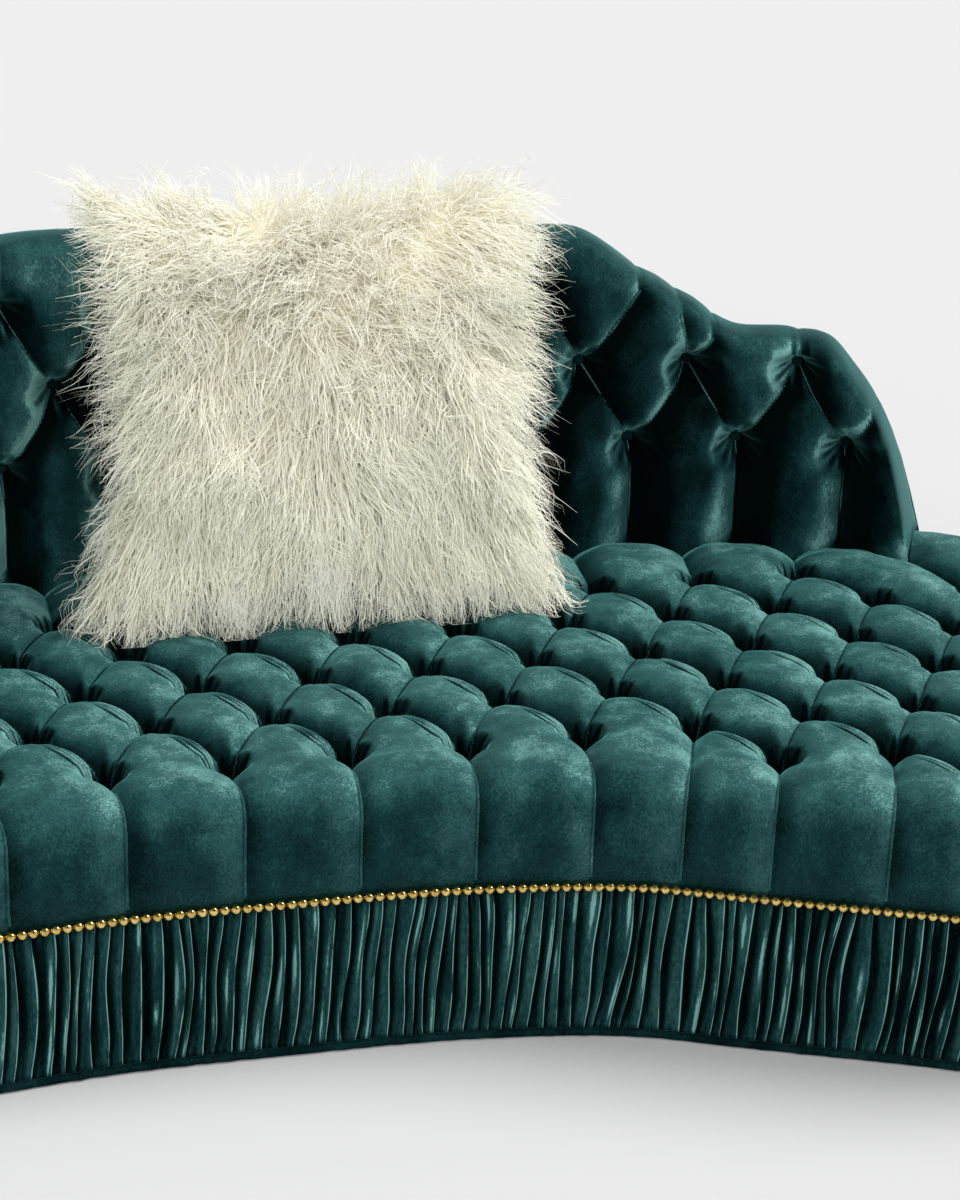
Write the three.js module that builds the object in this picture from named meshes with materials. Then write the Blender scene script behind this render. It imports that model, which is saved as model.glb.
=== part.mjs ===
import * as THREE from "three";

// A fainting couch: a kidney-shaped seat with deep diamond tufting, a tufted back that wraps its raised
// head end, a row of nailheads, a gathered skirt, the timber frame with springs inside, and a fur pillow.
// Millimetres, +Z up. The foot end points to +X and the open front to -Y.

// Whole couch.
const length = 2460;
const depth = 1205;
const crestHeight = 903;
const seatHeight = 400;
const clearance = 0.3;

// Base frame.
const legHeight = 40;
const legTopDiameter = 56;
const legFootDiameter = 42;
const legInset = 64;
const legCount = 7;
const legFootShares = [0.88, 0.12];
const railThickness = 18;
const railWidth = 80;
const blockLength = 70;
const blockWidth = 44;
const blockCount = 6;
const bearerWidth = 32;
const bearerHeight = 60;
const bearerShares = [-0.17, 0.17];
const panelThickness = 4;
const panelCount = 10;

// Springing and covers inside the seat.
const springWire = 3.8;
const springSwing = 42;
const springRise = 5;
const springCount = 6;
const springTurns = 6;
const springSpanShares = [-0.36, 0.4];
const deckThickness = 2;
const dustCoverThickness = 1.2;

// Skirt, its hem band and the nailheads above it.
const nailLine = 235;
const nailDiameter = 15;
const nailProud = 8;
const nailInset = 4;
const skirtOut = 5;
const skirtFold = 12;
const skirtFoldPitch = 42;
const skirtInset = 14;
const hemFloorGap = 12;
const hemHeight = 14;
const hemThickness = 12;

// Tufting of the seat: buttons stand in staggered rows that run straight along the couch.
const tuftPitch = 165;
const tuftRowPitch = 121;
const tuftColumnX = -12.5;
const tuftRowY = -183;
const tuftDepth = 38;
const tuftEdge = 85;
const rimReach = 225;
const rimRollWidth = 74;
const rimRollDrop = 50;
const rimBulge = 10;
const rimRidgeInset = 2;
const seamTuck = 6;
const seamInset = 8;
const seamDrop = 62;
const ringSpacing = 12;

// Back: its height at the ends, its frame and its own tufting.
const backShare = 0.4182;
const backInset = 127;
const backTopInset = 76;
const backRake = 30;
const footSweep = 620;
const headSweep = 700;
const backBoard = 14;
const backTimber = 30;
const backClearance = 0.8;
const backPlateHeight = 40;
const crestRailHeight = 70;
const crestRoll = 34;
const postWidth = 60;
const postCount = 4;
const backTuftPitch = 163.5;
const backTuftRowPitch = 128;
const backTuftStart = 112;
const backTuftHeight = 535;
const backTuftDepth = 38;
const backTuftRows = 3;
const crestTuftGap = 45;

// Loose fur pillow.
const pillowWidth = 700;
const pillowTall = 640;
const pillowThickness = 210;
const pillowX = -110;
const pillowLean = 0.31;

// Outline of the skirt seen from above, as shares of the length and the depth. It starts where the
// back ends near the foot and runs along the back, round the head, along the front and round the foot.
const planShares = [
  [0.369, 0.373],
  [0.28, 0.447],
  [0.207, 0.48],
  [0.126, 0.495],
  [-0.037, 0.5],
  [-0.199, 0.498],
  [-0.28, 0.491],
  [-0.362, 0.454],
  [-0.435, 0.363],
  [-0.484, 0.213],
  [-0.5, 0.031],
  [-0.492, -0.16],
  [-0.461, -0.289],
  [-0.411, -0.334],
  [-0.334, -0.295],
  [-0.269, -0.275],
  [-0.203, -0.262],
  [-0.13, -0.261],
  [-0.012, -0.268],
  [0.077, -0.298],
  [0.138, -0.349],
  [0.207, -0.407],
  [0.285, -0.471],
  [0.366, -0.499],
  [0.447, -0.426],
  [0.492, -0.251],
  [0.5, -0.061],
  [0.482, 0.139],
  [0.427, 0.288],
];

// Rise of the crest from the seat to its full height, along the sweep at each end of the back.
const sweepShares = [
  [0, 0.02],
  [0.063, 0.255],
  [0.129, 0.43],
  [0.208, 0.55],
  [0.273, 0.622],
  [0.377, 0.636],
  [0.484, 0.628],
  [0.535, 0.642],
  [0.62, 0.708],
  [0.69, 0.76],
  [0.784, 0.825],
  [0.921, 0.93],
  [1, 0.952],
  [1.6, 0.985],
  [2.2, 1],
];

// Levels that the pieces share.
const panelFoot = hemFloorGap + hemHeight + clearance;
const bottomRailFoot = legHeight + clearance;
const bottomRailTop = bottomRailFoot + railThickness;
const frameTop = nailLine - nailDiameter / 2;
const topRailFoot = frameTop - railThickness;
const deckFoot = frameTop + clearance;
const cushionFoot = deckFoot + deckThickness + clearance;
const nailTop = nailLine + nailDiameter / 2;
const boardFoot = nailTop + clearance;
const railInset = skirtInset + panelThickness + clearance;
const railInnerInset = railInset + railWidth;
const tuftBottom = seatHeight - tuftDepth;
const timberInset = nailInset + backBoard + backClearance;
const padRearInset = timberInset + backTimber + backClearance;

// Outline as evenly spaced samples with inward normals.
const outlineCurve = new THREE.CatmullRomCurve3(
  planShares.map(([x, y]) => new THREE.Vector3(x * length, y * depth, 0)),
  true,
  "centripetal",
);
outlineCurve.arcLengthDivisions = 2400;
const sampleCount = 1200;
const samples = outlineCurve.getSpacedPoints(sampleCount).slice(0, sampleCount);
const perimeter = outlineCurve.getLength();
const backLength = backShare * perimeter;
const sampleStep = perimeter / sampleCount;
const normals = samples.map((_, i) => {
  const ahead = samples[(i + 3) % sampleCount];
  const behind = samples[(i + sampleCount - 3) % sampleCount];
  return new THREE.Vector3(behind.y - ahead.y, ahead.x - behind.x, 0).normalize();
});

const mix = (a, b, t) => a + (b - a) * t;
const clamp = THREE.MathUtils.clamp;

// Point at a distance along the outline, moved in from it and up from the floor.
function place(along, inset, height) {
  const t = THREE.MathUtils.euclideanModulo(along, perimeter) / sampleStep;
  const i = Math.floor(t) % sampleCount;
  const j = (i + 1) % sampleCount;
  const normal = normals[i].clone().lerp(normals[j], t - Math.floor(t)).normalize();
  const point = samples[i].clone().lerp(samples[j], t - Math.floor(t));
  return point.addScaledVector(normal, inset).setZ(height);
}

// Direction of the outline at a distance along it, as an angle from +X.
function headingAt(along) {
  const a = place(along - sampleStep, 0, 0);
  const b = place(along + sampleStep, 0, 0);
  return Math.atan2(b.y - a.y, b.x - a.x);
}

// Evenly spaced distances, both ends included.
function steps(from, to, count) {
  return Array.from({ length: count + 1 }, (_, i) => mix(from, to, i / count));
}

// Value of a table of [distance, value] pairs, with smooth joins.
function fromTable(table, x) {
  const last = table.length - 1;
  if (x <= table[0][0]) return table[0][1];
  if (x >= table[last][0]) return table[last][1];
  const slope = (i) => {
    const a = table[Math.max(i - 1, 0)];
    const b = table[Math.min(i + 1, last)];
    return (b[1] - a[1]) / (b[0] - a[0]);
  };
  const i = table.findIndex((row, k) => x < table[k + 1][0]);
  const [x0, y0] = table[i];
  const [x1, y1] = table[i + 1];
  const span = x1 - x0;
  const t = (x - x0) / span;
  const blend = t * t * (3 - 2 * t);
  const bend = t * (1 - t) * span * ((1 - t) * slope(i) - t * slope(i + 1));
  return mix(y0, y1, blend) + bend;
}

// Closed solid from points and faces, turned so that its faces point out.
function solidFrom(points, faces) {
  const volume = faces.reduce((sum, [a, b, c]) => {
    const [p, q, r] = [points[a], points[b], points[c]];
    return sum + p.dot(new THREE.Vector3().crossVectors(q, r));
  }, 0);
  const index = volume < 0 ? faces.flatMap(([a, b, c]) => [a, c, b]) : faces.flat();
  const geometry = new THREE.BufferGeometry().setFromPoints(points);
  geometry.setIndex(index);
  geometry.computeVertexNormals();
  return geometry;
}

// The shared stations on either side of a distance, and how far it lies between them.
function gridSpan(along) {
  const i = clamp(grid.findIndex((s) => s > along) - 1, 0, grid.length - 2);
  return [grid[i], grid[i + 1], (along - grid[i]) / (grid[i + 1] - grid[i])];
}

// Like place, on the straight runs between the shared stations, so that nested pieces stay apart.
function placeOnGrid(along, inset, height) {
  const [from, to, t] = gridSpan(along);
  return place(from, inset, height).lerp(place(to, inset, height), t);
}

// A value that is known at the shared stations, carried straight between them.
function onGrid(along, valueAt) {
  const [from, to, t] = gridSpan(along);
  return mix(valueAt(from), valueAt(to), t);
}

// Solid that follows the outline: one ring of [inset, height] pairs at each distance along it.
function runAlong(stations, sectionAt, closed = false) {
  const sections = stations.map(sectionAt);
  const size = sections[0].length;
  const points = sections.flatMap((section, i) =>
    section.map(([inset, height]) => placeOnGrid(stations[i], inset, height)),
  );
  const faces = [];
  const spans = closed ? stations.length : stations.length - 1;
  for (let i = 0; i < spans; i++) {
    const next = (i + 1) % stations.length;
    for (let k = 0; k < size; k++) {
      const a = i * size + k;
      const b = i * size + ((k + 1) % size);
      const c = next * size + ((k + 1) % size);
      const d = next * size + k;
      faces.push([a, b, c], [a, c, d]);
    }
  }
  if (!closed) {
    const last = stations.length - 1;
    faces.push(...capOf(sections[0], -1));
    faces.push(...capOf(sections[last], 1).map((face) => face.map((k) => last * size + k)));
  }
  return solidFrom(points, faces);
}

// Triangles that close a section, wound with it for side 1 and against it for side -1.
function capOf(section, side) {
  const contour = section.map(([x, y]) => new THREE.Vector2(x, y));
  const turn = Math.sign(THREE.ShapeUtils.area(contour)) * side;
  return THREE.ShapeUtils.triangulateShape(contour, []).map(([a, b, c]) => {
    const same = Math.sign(THREE.ShapeUtils.area([contour[a], contour[b], contour[c]])) === turn;
    return same ? [a, b, c] : [a, c, b];
  });
}

// Flat sheet with the given outline.
function sheetFrom(outline, foot, thickness) {
  const shape = new THREE.Shape(outline.map((p) => new THREE.Vector2(p.x, p.y)));
  const geometry = new THREE.ExtrudeGeometry(shape, { depth: thickness, bevelEnabled: false });
  return geometry.translate(0, 0, foot);
}

const materials = {
  velvet: new THREE.MeshStandardMaterial({ color: 0x1f4f4c, roughness: 0.55, metalness: 0 }),
  lining: new THREE.MeshStandardMaterial({ color: 0x1c1d1f, roughness: 0.9, metalness: 0 }),
  timber: new THREE.MeshStandardMaterial({ color: 0xc49a63, roughness: 0.6, metalness: 0 }),
  plywood: new THREE.MeshStandardMaterial({ color: 0xd8b884, roughness: 0.65, metalness: 0 }),
  steel: new THREE.MeshStandardMaterial({ color: 0x8d9093, roughness: 0.35, metalness: 0.9 }),
  brass: new THREE.MeshStandardMaterial({ color: 0xc9a14a, roughness: 0.25, metalness: 1 }),
  burlap: new THREE.MeshStandardMaterial({ color: 0x9c7a4c, roughness: 0.95, metalness: 0 }),
  fur: new THREE.MeshStandardMaterial({ color: 0xe9e3d0, roughness: 0.9, metalness: 0 }),
};
const couch = new THREE.Group();

function add(name, geometry, material) {
  const mesh = new THREE.Mesh(geometry, material.clone());
  mesh.name = name;
  couch.add(mesh);
  return mesh;
}

// Block set square to the outline, from foot to top.
function addBlock(name, along, inset, size, foot, top, material) {
  const block = add(name, new THREE.BoxGeometry(size.along, size.across, top - foot), material);
  block.position.copy(place(along, inset + size.across / 2, (foot + top) / 2));
  block.rotation.z = headingAt(along);
  return block;
}

// Crest of the back above the floor at a distance from the back's foot end.
function crestAt(along) {
  const foot = fromTable(sweepShares, along / footSweep);
  const head = fromTable(sweepShares, (backLength - along) / headSweep);
  return seatHeight + (crestHeight - seatHeight) * Math.min(foot, head);
}

// Inset of a depth in the back, which leans out from the base upwards.
function leaning(inset, height) {
  const rise = clamp((height - frameTop) / (crestHeight - frameTop), 0, 1);
  return inset - backRake * rise;
}

// Inset of the crown of the back's front face.
function backFaceAt(height) {
  const rise = clamp((height - seatHeight) / (crestHeight - seatHeight), 0, 1);
  return mix(backInset + nailInset - clearance, backTopInset, rise);
}

// Tufting shared by the seat and the back. Buttons pull the cover down to points, and sewn folds join
// neighbouring buttons. Between the folds the filling swells into puffs.
function distanceToFold(p, [a, b]) {
  const run = (p.x - a.x) * (b.x - a.x) + (p.y - a.y) * (b.y - a.y);
  const t = clamp(run / a.distanceToSquared(b), 0, 1);
  return Math.hypot(p.x - mix(a.x, b.x, t), p.y - mix(a.y, b.y, t));
}

// Share of the full puff height at a plan point, from 0 at a button to 1 on a crown.
function puffShare(p, buttons, folds, pitch) {
  const reach = 0.3 * pitch;
  const nearness = (fold) => (distanceToFold(p, fold) + pitch / 1000) ** -4;
  const foldSum = folds.reduce((sum, fold) => sum + nearness(fold), 0);
  const foldGap = Math.min(1, foldSum ** -0.25 / reach);
  const nearest = Math.min(...buttons.map((b) => Math.hypot(p.x - b.x, p.y - b.y)), pitch);
  const buttonGap = nearest / (0.5 * pitch);
  const saddle = 0.55 * (1 - Math.exp(-2.2 * buttonGap));
  const dome = Math.sin((Math.PI / 2) * foldGap);
  return clamp(saddle + (1 - saddle) * dome, 0, 1);
}

// Fine outline of the seat: its open edge, then the front of the back.
const endGap = 2 * clearance;
const seatBackInset = backInset + nailInset;
const ringPoint = (along, inset, open) => Object.assign(place(along, inset, 0), { along, open });
const ringSteps = (from, to) => {
  const count = Math.round(Math.abs(to - from) / ringSpacing);
  return steps(from, to, count).slice(0, -1);
};
const seatRing = [
  ...ringSteps(backLength + endGap, perimeter - endGap).map((s) => ringPoint(s, nailInset, true)),
  ...ringSteps(nailInset, seatBackInset).map((inset) => ringPoint(-endGap, inset, false)),
  ...ringSteps(-endGap, backLength + endGap).map((s) => ringPoint(s, seatBackInset, false)),
  ...ringSteps(seatBackInset, nailInset).map((inset) => ringPoint(backLength + endGap, inset, false)),
];

function inRing(p, ring) {
  let inside = false;
  ring.forEach((a, i) => {
    const b = ring[(i + 1) % ring.length];
    if (a.y > p.y !== b.y > p.y && p.x < mix(a.x, b.x, (p.y - a.y) / (b.y - a.y))) inside = !inside;
  });
  return inside;
}

function nearestOnRing(p, ring) {
  let best = { gap: Infinity, at: 0, point: null };
  ring.forEach((a, i) => {
    const gap = Math.hypot(p.x - a.x, p.y - a.y);
    if (gap < best.gap) best = { gap, at: i, point: a };
  });
  return best;
}

// Buttons of the seat, the folds between them, and the seams from the outer ones to the edge.
function seatTufts() {
  const buttons = new Map();
  const columns = Math.ceil(length / tuftPitch);
  const rows = Math.ceil(depth / tuftRowPitch);
  for (let m = -2 * columns; m <= 2 * columns; m++) {
    for (let n = -rows; n <= rows; n++) {
      if ((m + n) % 2 !== 0) continue;
      const p = new THREE.Vector3(tuftColumnX + (m * tuftPitch) / 2, tuftRowY + n * tuftRowPitch, 0);
      if (!inRing(p, seatRing)) continue;
      const edge = nearestOnRing(p, seatRing);
      if (edge.gap >= tuftEdge) buttons.set(m + "," + n, { p, m, n, edge });
    }
  }
  const folds = [];
  for (const { p, m, n } of buttons.values()) {
    for (const side of [-1, 1]) {
      const other = buttons.get(m + side + "," + (n + 1));
      if (other) folds.push([p, other.p]);
    }
  }
  const seams = [];
  const outer = [...buttons.values()].filter((b) => b.edge.gap <= rimReach);
  outer.sort((a, b) => a.edge.gap - b.edge.gap);
  for (const button of outer) {
    const apart = seams.every((s) => s.edge.point.distanceTo(button.edge.point) > 0.62 * tuftPitch);
    if (apart) seams.push(button);
  }
  return {
    buttons: [...buttons.values()].map((b) => b.p),
    keys: buttons,
    folds: [...folds, ...seams.map((s) => [s.p, s.edge.point])],
    inner: folds,
    seams,
  };
}

// Triangles over plan points, as index triples, kept as even in shape as the points allow.
function triangulate(points, size) {
  const jitter = size * 1e-7;
  const plan = points.map((p, i) => [
    p.x + jitter * Math.sin(i * 12.9898),
    p.y + jitter * Math.cos(i * 78.233),
  ]);
  const count = plan.length;
  const far = 10 * size;
  plan.push([-far, -far], [far, -far], [0, far]);
  const circled = (a, b, c) => {
    const [ax, ay] = plan[a];
    const [bx, by] = [plan[b][0] - ax, plan[b][1] - ay];
    const [cx, cy] = [plan[c][0] - ax, plan[c][1] - ay];
    const d = 2 * (bx * cy - by * cx);
    const ux = (cy * (bx * bx + by * by) - by * (cx * cx + cy * cy)) / d;
    const uy = (bx * (cx * cx + cy * cy) - cx * (bx * bx + by * by)) / d;
    return { a, b, c, x: ax + ux, y: ay + uy, r2: ux * ux + uy * uy };
  };
  let triangles = [circled(count, count + 1, count + 2)];
  for (let i = 0; i < count; i++) {
    const [x, y] = plan[i];
    const edges = new Map();
    triangles = triangles.filter((t) => {
      if ((x - t.x) ** 2 + (y - t.y) ** 2 >= t.r2) return true;
      for (const [p, q] of [[t.a, t.b], [t.b, t.c], [t.c, t.a]]) {
        const key = Math.min(p, q) + "," + Math.max(p, q);
        if (!edges.delete(key)) edges.set(key, [p, q]);
      }
      return false;
    });
    for (const [p, q] of edges.values()) triangles.push(circled(p, q, i));
  }
  return triangles
    .filter((t) => Math.max(t.a, t.b, t.c) < count)
    .map(({ a, b, c }) => {
      const [ax, ay] = plan[a];
      const turn = (plan[b][0] - ax) * (plan[c][1] - ay) - (plan[b][1] - ay) * (plan[c][0] - ax);
      return turn > 0 ? [a, b, c] : [a, c, b];
    });
}

// Drop of the rounded rim at a distance in from the open edge.
function rimDrop(gap) {
  const t = clamp(1 - gap / rimRollWidth, 0, 1);
  return rimRollDrop * (1 - Math.sqrt(1 - t ** 2.4));
}

// Columns of the seat's open edge: each seam and two places between neighbouring seams.
function openColumns(tufts) {
  const seams = tufts.seams.filter((s) => s.edge.point.open).map((s) => s.edge.point.along);
  seams.sort((a, b) => a - b);
  const marks = [backLength + endGap, ...seams, perimeter - endGap];
  const columns = [];
  for (let i = 0; i < marks.length - 1; i++) {
    const [from, to] = [marks[i], marks[i + 1]];
    columns.push({ along: from, ridge: i === 0 ? 0.5 : 0 });
    const spans = Math.round((to - from) / (tuftPitch / 3));
    for (let k = 1; k < spans; k++) columns.push({ along: mix(from, to, k / spans), ridge: 1 });
  }
  columns.push({ along: marks.at(-1), ridge: 0.5 });
  return columns;
}

// Distances along the outline at which the back's front face has the given lengths.
const faceLengths = (() => {
  const lengths = [0];
  const stations = steps(0, backLength, 400);
  for (let i = 1; i < stations.length; i++) {
    const a = place(stations[i - 1], backInset, 0);
    const b = place(stations[i], backInset, 0);
    lengths.push(lengths[i - 1] + a.distanceTo(b));
  }
  return lengths.map((value, i) => [value, stations[i]]);
})();

function alongFor(faceLength) {
  const i = faceLengths.findIndex(([value]) => value >= faceLength);
  if (i <= 0) return i < 0 ? backLength : 0;
  const [x0, y0] = faceLengths[i - 1];
  const [x1, y1] = faceLengths[i];
  return mix(y0, y1, (faceLength - x0) / (x1 - x0));
}

// Buttons and folds of the back, in lengths along its face and heights.
function backTufts() {
  const buttons = new Map();
  const columns = Math.floor((2 * (faceLength - backTuftStart)) / backTuftPitch);
  for (let k = 0; k <= columns; k++) {
    for (let row = 0; row < backTuftRows; row++) {
      if ((k + row) % 2 !== 0) continue;
      const x = backTuftStart + (k * backTuftPitch) / 2;
      const y = backTuftHeight + row * backTuftRowPitch;
      if (crestAt(alongFor(x)) - y < crestTuftGap) continue;
      buttons.set(k + "," + row, new THREE.Vector3(x, y, 0));
    }
  }
  const folds = [];
  for (const [key, p] of buttons) {
    const [k, row] = key.split(",").map(Number);
    for (const side of [-1, 1]) {
      const other = buttons.get(k + side + "," + (row + 1));
      if (other) folds.push([p, other]);
    }
    if (row === 0) folds.push([p, new THREE.Vector3(p.x, 0, 0)]);
    if (buttons.has(k + "," + (row + 2))) continue;
    folds.push([p, new THREE.Vector3(p.x, 2 * crestHeight, 0)]);
  }
  return { buttons: [...buttons.values()], folds };
}

// Shared stations along the outline, which all pieces that run along it use: quarters of a tuft on the
// back, and the seams of the seat's edge and the places between them on the rest.
const faceLength = faceLengths.at(-1)[0];
const backColumns = (() => {
  const quarter = backTuftPitch / 4;
  const inner = [];
  for (let x = backTuftStart % quarter; x < faceLength - 0.4 * quarter; x += quarter) {
    if (x > 0.4 * quarter) inner.push(x);
  }
  return [0, ...inner, faceLength];
})();
const backStations = backColumns.map(alongFor);
const tufts = seatTufts();
const openEdge = openColumns(tufts);
const grid = [...backStations, ...openEdge.slice(1, -1).map((column) => column.along), perimeter];

// Bottom and top rails, each in four runs that meet at shared stations.
function runFrom(first, last) {
  const stations = grid.slice(first, last + 1);
  stations[0] += clearance;
  stations[stations.length - 1] -= clearance;
  return stations;
}

function buildRails() {
  const backEnd = backStations.length - 1;
  const last = grid.length - 1;
  const middle = (from, to) => Math.round((from + to) / 2);
  const runs = {
    rear: [0, middle(0, backEnd)],
    head: [middle(0, backEnd), backEnd],
    front: [backEnd, middle(backEnd, last)],
    foot: [middle(backEnd, last), last],
  };
  const section = (foot, top) => () => [
    [railInset, foot],
    [railInnerInset, foot],
    [railInnerInset, top],
    [railInset, top],
  ];
  for (const [name, ends] of Object.entries(runs)) {
    const stations = runFrom(...ends);
    const bottom = section(bottomRailFoot, bottomRailTop);
    add(name + "_bottom_rail", runAlong(stations, bottom), materials.plywood);
    const top = section(topRailFoot, frameTop);
    add(name + "_top_rail", runAlong(stations, top), materials.plywood);
  }
}

function buildLegs() {
  const top = legTopDiameter / 2;
  const foot = legFootDiameter / 2;
  const profile = [
    [0, 0],
    [foot * legFootShares[0], 0],
    [foot, legHeight * legFootShares[1]],
    [top, legHeight],
    [0, legHeight],
  ].map(([x, y]) => new THREE.Vector2(x, y));
  for (let i = 0; i < legCount; i++) {
    const geometry = new THREE.LatheGeometry(profile, 14).rotateX(Math.PI / 2);
    const leg = add("leg_" + (i + 1), geometry, materials.timber);
    leg.position.copy(place((perimeter * (i + 0.35)) / legCount, legInset, 0));
  }
}

function buildBlocks() {
  const size = { along: blockLength, across: blockWidth };
  const inset = railInset + (railWidth - blockWidth) / 2;
  for (let i = 0; i < blockCount; i++) {
    const along = (perimeter * (i + 0.72)) / blockCount;
    const foot = bottomRailTop + clearance;
    const top = topRailFoot - clearance;
    addBlock("block_" + (i + 1), along, inset, size, foot, top, materials.timber);
  }
}

// Where a line across the couch meets the outline moved in by an inset: its front and rear ends.
function spanAt(x, inset) {
  const ys = [];
  const ring = grid.slice(0, -1).map((s) => place(s, inset, 0));
  ring.forEach((a, i) => {
    const b = ring[(i + 1) % ring.length];
    if (a.x < x !== b.x < x) ys.push(mix(a.y, b.y, (x - a.x) / (b.x - a.x)));
  });
  return [Math.min(...ys), Math.max(...ys)];
}

function buildBearers() {
  for (const [i, share] of bearerShares.entries()) {
    const x = share * length;
    const edges = [x - bearerWidth / 2, x + bearerWidth / 2].map((side) => spanAt(side, railInset));
    const front = Math.max(edges[0][0], edges[1][0]) + clearance;
    const rear = Math.min(edges[0][1], edges[1][1]) - clearance;
    const geometry = new THREE.BoxGeometry(bearerWidth, rear - front, bearerHeight);
    const bearer = add("seat_bearer_" + (i + 1), geometry, materials.timber);
    bearer.position.set(x, (front + rear) / 2, topRailFoot - clearance - bearerHeight / 2);
  }
}

// Sinuous springs from the front top rail to the rear one, with a low arch.
class SpringPath extends THREE.Curve {
  constructor(x, front, rear, foot) {
    super();
    Object.assign(this, { x, front, rear, foot });
  }
  getPoint(t) {
    const ease = Math.min(1, 8 * t, 8 * (1 - t));
    const sway = (springSwing / 2) * Math.sin(2 * Math.PI * springTurns * t) * ease;
    const rise = springRise * Math.sin(Math.PI * t);
    return new THREE.Vector3(this.x + sway, mix(this.front, this.rear, t), this.foot + rise);
  }
}

function buildSprings() {
  const radius = springWire / 2;
  const angles = steps(0, 2 * Math.PI, 5).slice(1);
  const section = new THREE.Shape(
    angles.map((a) => new THREE.Vector2(radius * Math.cos(a), radius * Math.sin(a))),
  );
  for (let i = 0; i < springCount; i++) {
    const x = mix(...springSpanShares, i / (springCount - 1)) * length;
    const edges = [x - radius, x + radius].map((side) => spanAt(side, railInnerInset));
    const front = Math.max(edges[0][0], edges[1][0]) + clearance;
    const rear = Math.min(edges[0][1], edges[1][1]) - clearance;
    const foot = frameTop - springRise - springWire;
    const path = new SpringPath(x, front, rear, foot);
    const geometry = new THREE.ExtrudeGeometry(section, {
      steps: springTurns * 5,
      extrudePath: path,
      bevelEnabled: false,
    });
    add("seat_spring_" + (i + 1), geometry, materials.steel);
  }
}

function buildSheets() {
  const open = grid.filter((s) => s >= backLength);
  const deck = [
    ...open.map((s) => place(s, railInset, 0)),
    ...backStations.map((s) => place(s, padRearInset + clearance, 0)),
  ];
  add("seat_deck", sheetFrom(deck, deckFoot, deckThickness), materials.burlap);
  const under = grid.slice(0, -1).map((s) => place(s, railInnerInset + clearance, 0));
  for (const [name, side] of Object.entries({ head: -1, foot: 1 })) {
    const half = halfOf(under, side);
    add(name + "_dust_cover", sheetFrom(half, bottomRailFoot, dustCoverThickness), materials.lining);
  }
}

// The part of an outline on one side of the middle of the couch, less a small gap.
function halfOf(outline, side) {
  const limit = side * clearance;
  const kept = [];
  outline.forEach((a, i) => {
    const b = outline[(i + 1) % outline.length];
    const inA = side * (a.x - limit) > 0;
    const inB = side * (b.x - limit) > 0;
    if (inA) kept.push(a);
    if (inA !== inB) kept.push(a.clone().lerp(b, (limit - a.x) / (b.x - a.x)));
  });
  return kept;
}

// Thin bent panels round the base, which the skirt is fixed over.
function buildPanels() {
  const section = () => [
    [skirtInset, panelFoot],
    [skirtInset + panelThickness, panelFoot],
    [skirtInset + panelThickness, frameTop],
    [skirtInset, frameTop],
  ];
  for (let i = 0; i < panelCount; i++) {
    const ends = [i, i + 1].map((k) => Math.round((k * (grid.length - 1)) / panelCount));
    add("base_panel_" + (i + 1), runAlong(runFrom(...ends), section), materials.plywood);
  }
}

// Skirt with its main gathers, hem band and the strip of nailheads.
function buildSkirt() {
  const stations = [];
  for (let i = 0; i < grid.length - 1; i++) {
    const folds = Math.max(1, Math.round((grid[i + 1] - grid[i]) / skirtFoldPitch));
    stations.push(...steps(grid[i], grid[i + 1], 2 * folds).slice(0, -1));
  }
  const back = skirtInset - clearance;
  const top = frameTop - clearance;
  const section = (s) => {
    const face = (stations.indexOf(s) % 2) * skirtFold - skirtOut;
    return [
      [face, panelFoot],
      [back, panelFoot],
      [back, top],
      [face, top],
    ];
  };
  add("skirt", runAlong(stations, section, true), materials.velvet);
}

function band(face, thickness, foot, top) {
  const back = face + thickness;
  const round = 0.3 * (top - foot);
  return () => [
    [back, foot],
    [back, top],
    [face, top - round],
    [face, foot + round],
  ];
}

function buildTrim() {
  const hemStations = grid.slice(0, -1).filter((_, i) => i % 2 === 0);
  const hemTop = hemFloorGap + hemHeight;
  const hem = band(-skirtOut, hemThickness, hemFloorGap, hemTop);
  add("skirt_hem_band", runAlong(hemStations, hem, true), materials.velvet);
  const nailFace = nailInset - clearance - nailProud;
  const nails = band(nailFace, nailProud, nailLine - nailDiameter / 2, nailTop);
  add("nailhead_strip", runAlong(grid.slice(0, -1), nails, true), materials.brass);
}

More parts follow.
